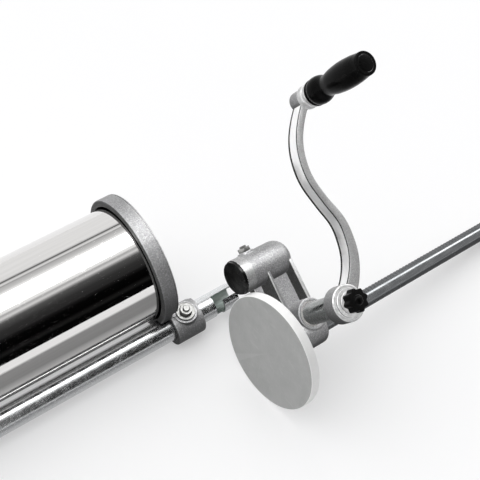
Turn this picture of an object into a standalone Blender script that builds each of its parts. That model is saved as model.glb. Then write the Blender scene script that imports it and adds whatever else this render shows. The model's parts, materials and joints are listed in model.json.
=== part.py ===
"""Horizontal sausage stuffer, lying on a table with its crank head taken off.

Metres, +Z up. The barrel lies along X and its rear end, where the head goes, points to +X.
The frame is drawn in its own axes, with the barrel on local X and the rail at local -Y.
The head is drawn in axes of its own too: local X runs along the rack from the pusher's front
face, local Y points from the rack to the socket and local Z along the crank shaft.
"""

import math

import bmesh
import bpy
from mathutils import Euler, Matrix, Vector

# Gaps that touching and running pieces keep
SEAT_GAP = 0.0003
RUN_GAP = 0.0003
CUT_OVERRUN = 0.002
WELD_DISTANCE = 0.00001

# Barrel: a thin stainless tube, open at both ends
BARREL_RADIUS = 0.0522
BARREL_WALL = 0.0009
BARREL_LENGTH = 0.246

# Collars: two equal castings that hold the barrel and clamp the rail in a side boss
COLLAR_RADIUS = 0.0595
COLLAR_WIDTH = 0.0138
COLLAR_EDGE = 0.0012
COLLAR_LIP = 0.0016
COLLAR_MOUTH_GAP = 0.0014
COLLAR_MOUTH_DEPTH = 0.006
COLLAR_FOOT_DEPTH = 0.0004
BOSS_RADIUS = 0.0163
BOSS_START = 0.0085
BOSS_LENGTH = 0.028
BOSS_EDGE = 0.002
CLAMP_AT = 0.0226
CLAMP_TILT = math.radians(25)
CLAMP_PAD_RADIUS = 0.0104
CLAMP_PAD_RISE = 0.0012

# Rail: one chromed tube beside the barrel, with a bayonet notch in its rear end
RAIL_RADIUS = 0.011
RAIL_WALL = 0.0015
RAIL_OFFSET = 0.066
RAIL_BEYOND = 0.075
RAIL_FRONT_OVERHANG = 0.03
NOTCH_START = 0.0515
NOTCH_CROSS_WIDTH = 0.0085
NOTCH_ENTRY_FROM = math.radians(3)
NOTCH_ENTRY_TO = math.radians(45)
NOTCH_CROSS_FROM = math.radians(-110)
PLUG_HEAD = 0.003
PLUG_DEPTH = 0.012

# Threaded fasteners: one stud size for the clamps and the lock
STUD_RADIUS = 0.003
NUT_ACROSS_FLATS = 0.010
NUT_HEIGHT = 0.0042
WASHER_RADIUS = 0.0085
WASHER_THICKNESS = 0.0016
STUD_PROUD = 0.0016
SCREW_HEAD_RADIUS = 0.003
SCREW_HEAD_HEIGHT = 0.0024
SCREW_SHANK_RADIUS = 0.0015
SCREW_SHANK_LENGTH = 0.009
SCREW_SOCKET_DEPTH = 0.0015
SCREW_SOCKET_ACROSS_FLATS = 0.0028
CAP_SCREW_COUNT = 3

# Front cap, nozzle and ring nut
CAP_FLANGE_THICKNESS = 0.003
CAP_FLANGE_INSET = 0.0006
CAP_PLUG_DEPTH = 0.022
CAP_WALL = 0.004
CAP_NECK_RADIUS = 0.019
CAP_NECK_LENGTH = 0.016
CAP_NECK_WALL = 0.003
GASKET_SECTION = 0.0013
GASKET_INSET = 0.005
NOZZLE_FLANGE_THICKNESS = 0.0025
NOZZLE_FLANGE_INSET = 0.001
NOZZLE_BASE_RADIUS = 0.0135
NOZZLE_TIP_RADIUS = 0.009
NOZZLE_WALL = 0.0012
NOZZLE_LENGTH = 0.12
RING_NUT_WALL = 0.0035
RING_NUT_LOBE = 0.0018
RING_NUT_LOBES = 10
RING_NUT_FACE = 0.003

# Rack, its teeth and the pinion that drives it
RACK_RADIUS = 0.008
RACK_LENGTH = 0.31
RACK_FLAT_DEPTH = 0.0013
TOOTH_MODULE = 0.00125
RACK_ADDENDUM_SHARE = 0.64
PINION_ADDENDUM_SHARE = 0.95
TOOTH_ROOT_GAP = 0.00035
TOOTH_BACKLASH = 0.0004
PINION_TEETH = 11
PRESSURE_ANGLE = math.radians(20)
RACK_TOOTHED_FROM = 0.0335
RACK_TAIL_PLAIN = 0.008
TAIL_SCREW_RADIUS = 0.0062
TAIL_SCREW_THICKNESS = 0.002

# Pusher disc and what holds it on the rack
PUSHER_GAP = 0.001
PUSHER_THICKNESS = 0.0085
PUSHER_EDGE = 0.0008
PUSHER_HUB_RADIUS = 0.013
PUSHER_HUB_LENGTH = 0.006
PUSHER_BORE_DEPTH = 0.011
LOCK_RING_RADIUS = 0.0115
LOCK_RING_THICKNESS = 0.004

# Head casting: socket for the rail, rack housing, shaft boss, web and ribs
SOCKET_RADIUS = 0.0149
SOCKET_MOUTH = 0.0036
SOCKET_LENGTH = 0.0522
SOCKET_BORE_DEPTH = 0.038
SOCKET_END_ROUND = 0.008
SOCKET_EDGE = 0.0008
HOUSING_RADIUS = 0.0145
HOUSING_FROM = 0.0245
HOUSING_TO = 0.0562
HOUSING_EDGE = 0.0015
HOUSING_ROUND = 0.0048
SHAFT_BOSS_RADIUS = 0.0134
SHAFT_BOSS_HALF = 0.0153
SHAFT_AT = 0.0447
WEB_FRONT = 0.0008
WEB_THICKNESS = 0.0042
RIB_THICKNESS = 0.0034
RIB_HALF = 0.0135
NEAR_RIB_AT_SOCKET = 0.0250
NEAR_RIB_AT_HOUSING = 0.0305
FAR_RIB_AT_SOCKET = 0.0488
FAR_RIB_AT_HOUSING = 0.0524
LUG_REACH = 0.0075
LUG_WIDTH = 0.012
LUG_DEPTH = 0.008
RIB_TOE = 0.001
LOCK_AT = 0.0213
LOCK_PAD_RADIUS = 0.0068
LOCK_PAD_RISE = 0.0008
LOCK_NUT_HEIGHT = 0.0034
LOCK_SCREW_PROUD = 0.0016
RACK_BUSH_WALL = 0.0014
RACK_BUSH_LENGTH = 0.0085
SHAFT_BUSH_WALL = 0.0014
SHAFT_BUSH_INSET = 0.0005

# Crank shaft, hub and arm
SHAFT_RADIUS = 0.00875
PINION_HALF = 0.0084
SHAFT_TAIL = 0.0035
RETAINER_THICKNESS = 0.0015
RETAINER_WALL = 0.0024
RETAINER_GROOVE = 0.0012
HUB_RADIUS = 0.0152
HUB_FROM = 0.054
HUB_TO = 0.0685
HUB_EDGE = 0.0010
HUB_STEP_RADIUS = 0.0118
HUB_STEP_HEIGHT = 0.0012
SHAFT_END_GAP = 0.001
DRIVE_FLAT_DEPTH = 0.0015
HUB_WASHER_RADIUS = 0.0092
HUB_WASHER_THICKNESS = 0.0016
ARM_FROM = 0.0532
ARM_TO = 0.0664
ARM_WIDTH_AT_HUB = 0.0119
ARM_WIDTH = 0.0066
CRANK_ALONG = 0.0500
CRANK_REACH = 0.1590
ARM_CURVE_SHARES = (
    (0.0, 0.0),
    (0.298, 0.088),
    (0.483, 0.176),
    (0.571, 0.270),
    (0.583, 0.377),
    (0.463, 0.503),
    (0.381, 0.623),
    (0.410, 0.730),
    (0.521, 0.824),
    (0.722, 0.912),
    (1.0, 1.0),
)
ARM_TAPER_SHARE = 0.5
ARM_STEPS = 3
GRIP_BOSS_RADIUS = 0.0086
GRIP_BOSS_EDGE = 0.0008

# Star knob
KNOB_RADIUS = 0.0098
KNOB_LOBE_SHARE = 0.09
KNOB_LOBES = 8
KNOB_COLLAR_RADIUS = 0.0058
KNOB_COLLAR_HEIGHT = 0.0018
KNOB_HEIGHT = 0.0075
KNOB_STUD_RADIUS = 0.003
KNOB_STUD_DEPTH = 0.012
KNOB_CAP_RADIUS = 0.0042
KNOB_CAP_HEIGHT = 0.0022

# Grip and its spindle
GRIP_RING_RADIUS = 0.0094
GRIP_RING_THICKNESS = 0.0084
GRIP_LENGTH = 0.0715
GRIP_BULB_RADIUS = 0.0108
GRIP_NECK_RADIUS = 0.0077
GRIP_SWELL_RADIUS = 0.0104
GRIP_END_RADIUS = 0.0088
GRIP_BORE_RADIUS = 0.0043
SPINDLE_RADIUS = 0.004
SPINDLE_HEAD_RADIUS = 0.006
SPINDLE_HEAD_THICKNESS = 0.002
GRIP_PLUG_THICKNESS = 0.0018
GRIP_PLUG_RADIUS = 0.0068

# Where the loose head lies, as seen in the photograph
HEAD_AHEAD = 0.0451
HEAD_ASIDE = 0.1424
HEAD_YAW = math.radians(4.2)
HEAD_LEAN = math.radians(50.7)

# Facet counts
LARGE_STEPS = 36
MEDIUM_STEPS = 20
SMALL_STEPS = 14
FINE_STEPS = 8

# Sizes worked out from those above
BARREL_BORE = BARREL_RADIUS - BARREL_WALL
COLLAR_SEAT = BARREL_RADIUS + SEAT_GAP
PUSHER_RADIUS = BARREL_BORE - PUSHER_GAP
PUSHER_PATH = BARREL_BORE + SEAT_GAP
CLAMP_SEAT = BOSS_RADIUS + CLAMP_PAD_RISE
WASHER_TOP = CLAMP_SEAT + SEAT_GAP + WASHER_THICKNESS
BARREL_REAR = COLLAR_WIDTH - COLLAR_LIP - SEAT_GAP
BARREL_FRONT = BARREL_REAR - BARREL_LENGTH
FRONT_COLLAR_NEAR = BARREL_FRONT - COLLAR_LIP - SEAT_GAP + COLLAR_WIDTH
FRONT_FACE = FRONT_COLLAR_NEAR - COLLAR_WIDTH
RAIL_BORE = RAIL_RADIUS - RAIL_WALL
RAIL_FRONT = FRONT_COLLAR_NEAR - BOSS_START - BOSS_LENGTH - RAIL_FRONT_OVERHANG
FRAME_LEAN = math.acos((COLLAR_RADIUS - BOSS_RADIUS) / RAIL_OFFSET)
AXIS_HEIGHT = COLLAR_RADIUS - COLLAR_FOOT_DEPTH
CAP_PLUG_RADIUS = BARREL_BORE - SEAT_GAP
CAP_FACE = FRONT_FACE - SEAT_GAP - CAP_FLANGE_THICKNESS
CAP_FLANGE_RADIUS = COLLAR_RADIUS - CAP_FLANGE_INSET
NECK_END = CAP_FACE - CAP_NECK_LENGTH
NECK_BORE = CAP_NECK_RADIUS - CAP_NECK_WALL
TOOTH_PITCH = math.pi * TOOTH_MODULE
PINION_PITCH_RADIUS = 0.5 * PINION_TEETH * TOOTH_MODULE
RACK_CREST = RACK_RADIUS - RACK_FLAT_DEPTH
RACK_ADDENDUM = RACK_ADDENDUM_SHARE * TOOTH_MODULE
PINION_ADDENDUM = PINION_ADDENDUM_SHARE * TOOTH_MODULE
RACK_PITCH_LINE = RACK_CREST - RACK_ADDENDUM
RACK_ROOT = RACK_PITCH_LINE - PINION_ADDENDUM - TOOTH_ROOT_GAP
SHAFT_OFFSET = RACK_PITCH_LINE + PINION_PITCH_RADIUS
RACK_TOOTHED_TO = RACK_LENGTH - RACK_TAIL_PLAIN
SHAFT_BUSH_RADIUS = SHAFT_RADIUS + RUN_GAP + SHAFT_BUSH_WALL
RACK_BUSH_RADIUS = RACK_RADIUS + RUN_GAP + RACK_BUSH_WALL
SHAFT_BORE = SHAFT_BUSH_RADIUS + SEAT_GAP
RACK_BORE = RACK_RADIUS + RUN_GAP
SOCKET_END = SOCKET_MOUTH + SOCKET_LENGTH
SHAFT_HOLE_END = HUB_TO - SHAFT_END_GAP
KNOB_FOOT = HUB_TO + HUB_WASHER_THICKNESS + 2 * SEAT_GAP
KNOB_FACE = KNOB_FOOT + KNOB_COLLAR_HEIGHT
GRIP_RING_FOOT = ARM_TO + SEAT_GAP
GRIP_FOOT = GRIP_RING_FOOT + GRIP_RING_THICKNESS + SEAT_GAP
GRIP_AT = SHAFT_AT + CRANK_ALONG
GRIP_OFFSET = SHAFT_OFFSET + CRANK_REACH
HEAD_PITCH = math.atan((PUSHER_RADIUS - RACK_RADIUS) / (RACK_LENGTH - PUSHER_THICKNESS))
HEAD_HEIGHT = PUSHER_RADIUS * math.cos(HEAD_PITCH) + PUSHER_THICKNESS * math.sin(HEAD_PITCH)

ALONG_X = (0, math.radians(90), 0)
ALONG_MINUS_X = (0, math.radians(-90), 0)
ALONG_Y = (math.radians(-90), 0, 0)
ALONG_MINUS_Z = (math.radians(180), 0, 0)


def new_collection(name):
    collection = bpy.data.collections.new(name)
    bpy.context.scene.collection.children.link(collection)
    return collection


def finish(name, colour, roughness, metallic):
    material = bpy.data.materials.new(name)
    material.use_nodes = True
    shader = material.node_tree.nodes["Principled BSDF"]
    shader.inputs["Base Color"].default_value = (*colour, 1)
    shader.inputs["Roughness"].default_value = roughness
    shader.inputs["Metallic"].default_value = metallic
    return material


for old in list(bpy.data.objects):
    bpy.data.objects.remove(old, do_unlink=True)

PARTS = new_collection("sausage_stuffer")
CUTTERS = new_collection("cutters")

STAINLESS = finish("polished_stainless", (0.72, 0.72, 0.71), 0.08, 1)
CHROME = finish("chromed_steel", (0.70, 0.71, 0.72), 0.12, 1)
CASTING = finish("cast_aluminium", (0.56, 0.56, 0.56), 0.45, 1)
STEEL = finish("zinc_plated_steel", (0.62, 0.62, 0.60), 0.25, 1)
POLISHED = finish("polished_aluminium", (0.78, 0.78, 0.78), 0.15, 1)
BRONZE = finish("sintered_bronze", (0.50, 0.36, 0.20), 0.4, 1)
PALE_PLASTIC = finish("pale_grey_plastic", (0.52, 0.53, 0.52), 0.55, 0)
BLACK_PLASTIC = finish("black_plastic", (0.012, 0.012, 0.012), 0.25, 0)
RUBBER = finish("food_rubber", (0.78, 0.78, 0.74), 0.6, 0)


def axes(name, parent=None, place=(0, 0, 0), turn=None):
    """An empty that carries pieces: the frame, the head, or a joint's axis."""
    empty = bpy.data.objects.new(name, None)
    PARTS.objects.link(empty)
    empty.parent = parent
    empty.location = place
    if turn is not None:
        empty.rotation_euler = turn
    return empty


def place_object(name, data, parent, place, turn, material, cutter):
    obj = bpy.data.objects.new(name, data)
    (CUTTERS if cutter else PARTS).objects.link(obj)
    obj.parent = parent
    obj.location = place
    obj.rotation_euler = turn
    if cutter:
        obj.hide_render = True
        obj.display_type = "WIRE"
    elif material is not None:
        data.materials.append(material)
    return obj


def turned(name, profile, parent, place=(0, 0, 0), turn=(0, 0, 0), steps=MEDIUM_STEPS,
           material=None, cutter=False):
    """A turned solid about local Z. The profile's (radius, height) points run down the outside.

    A profile that starts and ends on the axis stays open there; any other one is a ring and closes.
    """
    mesh = bpy.data.meshes.new(name)
    count = len(profile)
    edges = [(i, i + 1) for i in range(count - 1)]
    if profile[0][0] > 0:
        edges.append((count - 1, 0))
    mesh.from_pydata([(radius, 0, height) for radius, height in profile], edges, [])
    obj = place_object(name, mesh, parent, place, turn, material, cutter)
    screw = obj.modifiers.new("Turn", "SCREW")
    screw.steps = steps
    screw.render_steps = steps
    screw.use_merge_vertices = True
    screw.merge_threshold = WELD_DISTANCE
    screw.use_smooth_shade = True
    return obj


def rod(name, radius, low, high, parent, place=(0, 0, 0), turn=(0, 0, 0), steps=SMALL_STEPS,
        edge=0, material=None, cutter=False):
    """A plain round bar along local Z from low to high, with chamfered ends where edge is given."""
    if edge:
        outside = [(radius - edge, high), (radius, high - edge), (radius, low + edge), (radius - edge, low)]
        return turned(name, [(0, high), *outside, (0, low)], parent, place, turn, steps, material, cutter)
    shape = bmesh.new()
    bmesh.ops.create_cone(shape, cap_ends=True, segments=steps, radius1=radius, radius2=radius, depth=high - low,
                          matrix=Matrix.Translation((0, 0, 0.5 * (low + high))))
    mesh = bpy.data.meshes.new(name)
    shape.to_mesh(mesh)
    shape.free()
    return place_object(name, mesh, parent, place, turn, material, cutter)


def sleeve(name, outer, bore, low, high, parent, place=(0, 0, 0), turn=(0, 0, 0), steps=SMALL_STEPS,
           edge=0, material=None, cutter=False):
    """A round tube along local Z from low to high, with chamfered outer edges where edge is given."""
    if edge:
        outside = [(outer - edge, high), (outer, high - edge), (outer, low + edge), (outer - edge, low)]
    else:
        outside = [(outer, high), (outer, low)]
    return turned(name, [*outside, (bore, low), (bore, high)], parent, place, turn, steps, material, cutter)


def plate(name, loops, thickness, parent, place=(0, 0, 0), turn=(0, 0, 0), material=None, cutter=False):
    """A flat outline in local XY, with holes as further loops, thick along local Z about its middle."""
    curve = bpy.data.curves.new(name, "CURVE")
    curve.dimensions = "2D"
    curve.fill_mode = "BOTH"
    curve.extrude = 0.5 * thickness
    for loop in loops:
        spline = curve.splines.new("POLY")
        spline.points.add(len(loop) - 1)
        for point, (x, y) in zip(spline.points, loop):
            point.co = (x, y, 0, 1)
        spline.use_cyclic_u = True
    drawn = bpy.data.objects.new(name + "_outline", curve)
    bpy.context.scene.collection.objects.link(drawn)
    graph = bpy.context.evaluated_depsgraph_get()
    mesh = bpy.data.meshes.new_from_object(drawn.evaluated_get(graph))
    bpy.data.objects.remove(drawn, do_unlink=True)
    shape = bmesh.new()
    shape.from_mesh(mesh)
    bmesh.ops.remove_doubles(shape, verts=shape.verts, dist=WELD_DISTANCE)
    bmesh.ops.recalc_face_normals(shape, faces=shape.faces)
    shape.to_mesh(mesh)
    shape.free()
    mesh.name = name
    return place_object(name, mesh, parent, place, turn, material, cutter)


def block(name, low, high, parent, turn=(0, 0, 0), place=(0, 0, 0), cutter=True):
    """A box between two corners in the parent's axes."""
    shape = bmesh.new()
    bmesh.ops.create_cube(shape, size=1)
    low, high = Vector(map(min, low, high)), Vector(map(max, low, high))
    sides = high - low
    bmesh.ops.scale(shape, vec=sides, verts=shape.verts)
    bmesh.ops.translate(shape, vec=0.5 * (low + high), verts=shape.verts)
    mesh = bpy.data.meshes.new(name)
    shape.to_mesh(mesh)
    shape.free()
    return place_object(name, mesh, parent, place, turn, None, cutter)


def boolean(target, operation, others, solver):
    for other in others:
        modifier = target.modifiers.new(other.name, "BOOLEAN")
        modifier.operation = operation
        modifier.solver = solver
        modifier.object = other
    return target


def join(target, *others, solver="EXACT"):
    return boolean(target, "UNION", others, solver)


def cut(target, *others, solver="EXACT"):
    """Takes the others away. The castings use the MANIFOLD solver, where EXACT leaves open edges."""
    return boolean(target, "DIFFERENCE", others, solver)


def circle_points(radius, count, phase=0):
    return [
        (radius * math.cos(phase + math.tau * i / count), radius * math.sin(phase + math.tau * i / count))
        for i in range(count)
    ]


def hexagon(across_flats):
    return circle_points(0.5 * across_flats / math.cos(math.pi / 6), 6)


def arc_profile(centre_radius, centre_height, radius, start, stop, count):
    """Profile points on a rounded edge, from one angle to another."""
    return [
        (
            centre_radius + radius * math.cos(start + (stop - start) * i / count),
            centre_height + radius * math.sin(start + (stop - start) * i / count),
        )
        for i in range(count + 1)
    ]


def nut(name, across, height, parent, place, turn):
    bore = STUD_RADIUS + SEAT_GAP
    loops = [hexagon(across), circle_points(bore, FINE_STEPS)]
    return plate(name, loops, height, parent, place, turn, STEEL)


# The frame

def make_barrel(frame):
    return sleeve("barrel", BARREL_RADIUS, BARREL_BORE, BARREL_FRONT, BARREL_REAR, frame, turn=ALONG_X,
                  steps=LARGE_STEPS, material=STAINLESS)


def make_collar(name, frame, near, direction):
    """A collar whose boss points away from the barrel. Direction is 1 at the rear, -1 at the front."""
    turn = ALONG_X if direction > 0 else ALONG_MINUS_X
    place = (near, 0, 0)
    mouth = COLLAR_SEAT + COLLAR_MOUTH_GAP
    lip_at = COLLAR_WIDTH - COLLAR_LIP
    collar = rod(name, COLLAR_RADIUS, 0, COLLAR_WIDTH, frame, place, turn, steps=LARGE_STEPS,
                 edge=COLLAR_EDGE, material=CASTING)
    rail_at = (near, -RAIL_OFFSET, 0)
    boss_end = BOSS_START + BOSS_LENGTH
    boss = rod(name + "_boss", BOSS_RADIUS, BOSS_START, boss_end, frame, rail_at, turn,
               steps=MEDIUM_STEPS, edge=BOSS_EDGE, cutter=True)
    clamp_at = (near + direction * CLAMP_AT, -RAIL_OFFSET, 0)
    tilt = (-CLAMP_TILT, 0, 0)
    pad = rod(name + "_pad", CLAMP_PAD_RADIUS, 0.5 * RAIL_RADIUS, CLAMP_SEAT, frame, clamp_at, tilt,
              steps=SMALL_STEPS, cutter=True)
    join(collar, boss, pad, solver="MANIFOLD")
    inside = [
        (0, boss_end + CUT_OVERRUN),
        (PUSHER_PATH, boss_end + CUT_OVERRUN),
        (PUSHER_PATH, lip_at),
        (COLLAR_SEAT, lip_at),
        (COLLAR_SEAT, COLLAR_MOUTH_DEPTH),
        (mouth, 0),
        (mouth, -CUT_OVERRUN),
        (0, -CUT_OVERRUN),
    ]
    barrel_room = turned(name + "_barrel_room", inside, frame, place, turn, LARGE_STEPS, cutter=True)
    rail_room = rod(name + "_rail_room", RAIL_RADIUS + SEAT_GAP, -CUT_OVERRUN, boss_end + CUT_OVERRUN, frame,
                    rail_at, turn, steps=MEDIUM_STEPS, cutter=True)
    stud_room = rod(name + "_stud_room", STUD_RADIUS + SEAT_GAP, 0.6 * RAIL_RADIUS, CLAMP_SEAT + CUT_OVERRUN, frame,
                    clamp_at, tilt, steps=FINE_STEPS, cutter=True)
    reach = RAIL_OFFSET + BOSS_RADIUS
    table = block(name + "_table", (near - boss_end - CUT_OVERRUN, -reach, -reach),
                  (near + boss_end + CUT_OVERRUN, reach, -AXIS_HEIGHT), frame, (-frame_turn(), 0, 0))
    return cut(collar, barrel_room, rail_room, stud_room, table, solver="MANIFOLD")


def make_clamp(name, frame, near, direction):
    """Stud, washer and nut that press a collar's boss onto the rail."""
    at = (near + direction * CLAMP_AT, -RAIL_OFFSET, 0)
    tilt = (-CLAMP_TILT, 0, 0)
    nut_low = WASHER_TOP + SEAT_GAP
    nut_high = nut_low + NUT_HEIGHT
    nut_middle = 0.5 * (nut_low + nut_high)
    nut_at = (at[0], at[1] + nut_middle * math.sin(CLAMP_TILT), nut_middle * math.cos(CLAMP_TILT))
    sleeve(name + "_washer", WASHER_RADIUS, STUD_RADIUS + SEAT_GAP, CLAMP_SEAT + SEAT_GAP, WASHER_TOP, frame, at,
           tilt, steps=SMALL_STEPS, material=STEEL)
    nut(name + "_nut", NUT_ACROSS_FLATS, NUT_HEIGHT, frame, nut_at, tilt)
    rod(name + "_stud", STUD_RADIUS, RAIL_RADIUS + SEAT_GAP, nut_high + STUD_PROUD, frame, at, tilt,
        steps=FINE_STEPS, material=STEEL)


def wedge(name, start, stop, low, high, frame, place):
    """A sector cutter about the rail's axis, from one angle to another, measured from local Z to Y."""
    reach = RAIL_RADIUS + CUT_OVERRUN
    count = max(2, round((stop - start) / math.radians(15)))
    outline = [(0, 0)] + [
        (reach * math.cos(start + (stop - start) * i / count), reach * math.sin(start + (stop - start) * i / count))
        for i in range(count + 1)
    ]
    # The outline's own X axis is turned to the frame's Z, and its Y axis to the frame's Y
    turn = Matrix(((0, 0, -1), (0, 1, 0), (1, 0, 0))).to_euler()
    return plate(name, [outline], high - low, frame, (place[0] + 0.5 * (low + high), *place[1:]), turn, cutter=True)


def make_rail(frame):
    at = (0, -RAIL_OFFSET, 0)
    rail = sleeve("rail", RAIL_RADIUS, RAIL_BORE, RAIL_FRONT, RAIL_BEYOND, frame, at, ALONG_X,
                  steps=MEDIUM_STEPS, material=CHROME)
    cross_end = NOTCH_START + NOTCH_CROSS_WIDTH
    cross = wedge("notch_cross", NOTCH_CROSS_FROM, NOTCH_ENTRY_TO, NOTCH_START, cross_end, frame, at)
    entry = wedge("notch_entry", NOTCH_ENTRY_FROM, NOTCH_ENTRY_TO, 0.5 * (NOTCH_START + cross_end),
                  RAIL_BEYOND + CUT_OVERRUN, frame, at)
    cut(rail, cross, entry)
    plug_bore = RAIL_BORE - SEAT_GAP
    profile = [
        (0, RAIL_FRONT + PLUG_DEPTH),
        (plug_bore, RAIL_FRONT + PLUG_DEPTH),
        (plug_bore, RAIL_FRONT - SEAT_GAP),
        (RAIL_RADIUS, RAIL_FRONT - SEAT_GAP),
        (RAIL_RADIUS, RAIL_FRONT - SEAT_GAP - 0.5 * PLUG_HEAD),
        (RAIL_RADIUS - 0.5 * PLUG_HEAD, RAIL_FRONT - SEAT_GAP - PLUG_HEAD),
        (0, RAIL_FRONT - SEAT_GAP - PLUG_HEAD),
    ]
    turned("rail_end_plug", profile, frame, at, ALONG_X, SMALL_STEPS, BLACK_PLASTIC)


def make_front(frame):
    """Front cap with its gasket and screws, the nozzle and the ring nut that holds it."""
    plug_end = FRONT_FACE + CAP_PLUG_DEPTH
    groove_at = plug_end - GASKET_INSET
    groove_floor = CAP_PLUG_RADIUS - 2 * GASKET_SECTION
    groove_half = GASKET_SECTION + SEAT_GAP
    profile = [
        (CAP_PLUG_RADIUS, plug_end),
        (CAP_PLUG_RADIUS, groove_at + groove_half),
        (groove_floor, groove_at + groove_half),
        (groove_floor, groove_at - groove_half),
        (CAP_PLUG_RADIUS, groove_at - groove_half),
        (CAP_PLUG_RADIUS, FRONT_FACE - SEAT_GAP),
        (CAP_FLANGE_RADIUS, FRONT_FACE - SEAT_GAP),
        (CAP_FLANGE_RADIUS, CAP_FACE),
        (CAP_NECK_RADIUS, CAP_FACE),
        (CAP_NECK_RADIUS, NECK_END),
        (NECK_BORE, NECK_END),
        (NECK_BORE, CAP_FACE + CAP_WALL),
        (groove_floor - CAP_WALL, plug_end - CAP_WALL),
        (groove_floor - CAP_WALL, plug_end),
    ]
    cap = turned("front_cap", profile, frame, (0, 0, 0), ALONG_X, LARGE_STEPS, CASTING)
    boss_room = rod("front_cap_boss_room", math.hypot(WASHER_RADIUS, WASHER_TOP) + SEAT_GAP,
                    CAP_FACE - CUT_OVERRUN, FRONT_FACE - 0.5 * SEAT_GAP, frame, (0, -RAIL_OFFSET, 0), ALONG_X, steps=MEDIUM_STEPS,
                    cutter=True)
    cut(cap, boss_room)
    screw_circle = 0.5 * (COLLAR_SEAT + COLLAR_RADIUS)
    for index in range(CAP_SCREW_COUNT):
        angle = math.tau * index / CAP_SCREW_COUNT
        place = (0, screw_circle * math.cos(angle), screw_circle * math.sin(angle))
        make_cap_screw(index, frame, place, cap)
    ring = GASKET_SECTION
    centre = groove_floor + SEAT_GAP + ring
    section = [
        (centre + ring * math.cos(a), groove_at + ring * math.sin(a))
        for a in (math.radians(90) - math.tau * i / 6 for i in range(6))
    ]
    turned("cap_gasket", section, frame, (0, 0, 0), ALONG_X, LARGE_STEPS, RUBBER)


def make_cap_screw(index, frame, place, cap):
    """One socket screw through the cap's flange into the front collar's rim."""
    name = f"cap_screw_{index + 1}"
    seat = CAP_FACE - SEAT_GAP
    shank_end = CAP_FACE + SCREW_SHANK_LENGTH
    profile = [
        (0, shank_end),
        (SCREW_SHANK_RADIUS, shank_end),
        (SCREW_SHANK_RADIUS, seat),
        (SCREW_HEAD_RADIUS, seat),
        (SCREW_HEAD_RADIUS, seat - SCREW_HEAD_HEIGHT),
        (0, seat - SCREW_HEAD_HEIGHT),
    ]
    screw = turned(name, profile, frame, place, ALONG_X, FINE_STEPS, STEEL)
    drive = plate(name + "_drive", [hexagon(SCREW_SOCKET_ACROSS_FLATS)], 2 * SCREW_SOCKET_DEPTH, frame,
                  (seat - SCREW_HEAD_HEIGHT, *place[1:]), ALONG_X, cutter=True)
    cut(screw, drive)
    room = rod(name + "_room", SCREW_SHANK_RADIUS + SEAT_GAP, seat - CUT_OVERRUN, shank_end + SEAT_GAP, frame,
               place, ALONG_X, steps=FINE_STEPS, cutter=True)
    cut(cap, room)
    cut(bpy.data.objects["front_collar"], room, solver="MANIFOLD")


def make_nozzle(nozzle_axes, nut_axes):
    flange_radius = CAP_NECK_RADIUS - NOZZLE_FLANGE_INSET
    flange_back = NECK_END - SEAT_GAP
    flange_front = flange_back - NOZZLE_FLANGE_THICKNESS
    tip = flange_front - NOZZLE_LENGTH
    profile = [
        (flange_radius, flange_back),
        (flange_radius, flange_front),
        (NOZZLE_BASE_RADIUS, flange_front),
        (NOZZLE_TIP_RADIUS, tip),
        (NOZZLE_TIP_RADIUS - NOZZLE_WALL, tip),
        (NOZZLE_BASE_RADIUS - NOZZLE_WALL, flange_back),
    ]
    turned("nozzle", profile, nozzle_axes, (0, 0, 0), ALONG_X, MEDIUM_STEPS, STAINLESS)
    bore = CAP_NECK_RADIUS + RUN_GAP
    outer = bore + RING_NUT_WALL
    face_back = flange_front - SEAT_GAP
    face_front = face_back - RING_NUT_FACE
    skirt_end = NECK_END + 0.5 * CAP_NECK_LENGTH
    count = 4 * RING_NUT_LOBES
    outline = [
        (
            (outer + RING_NUT_LOBE * math.cos(RING_NUT_LOBES * a)) * math.cos(a),
            (outer + RING_NUT_LOBE * math.cos(RING_NUT_LOBES * a)) * math.sin(a),
        )
        for a in (math.tau * i / count for i in range(count))
    ]
    body = plate("ring_nut", [outline], skirt_end - face_front, nut_axes,
                 (0.5 * (skirt_end + face_front), 0, 0), ALONG_X, STAINLESS)
    room = rod("ring_nut_room", bore, face_back, skirt_end + CUT_OVERRUN, nut_axes, turn=ALONG_X,
               steps=MEDIUM_STEPS, cutter=True)
    throat = rod("ring_nut_throat", NOZZLE_BASE_RADIUS + RUN_GAP, face_front - CUT_OVERRUN, skirt_end, nut_axes,
                 turn=ALONG_X, steps=MEDIUM_STEPS, cutter=True)
    cut(body, room, throat)


# The head

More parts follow.
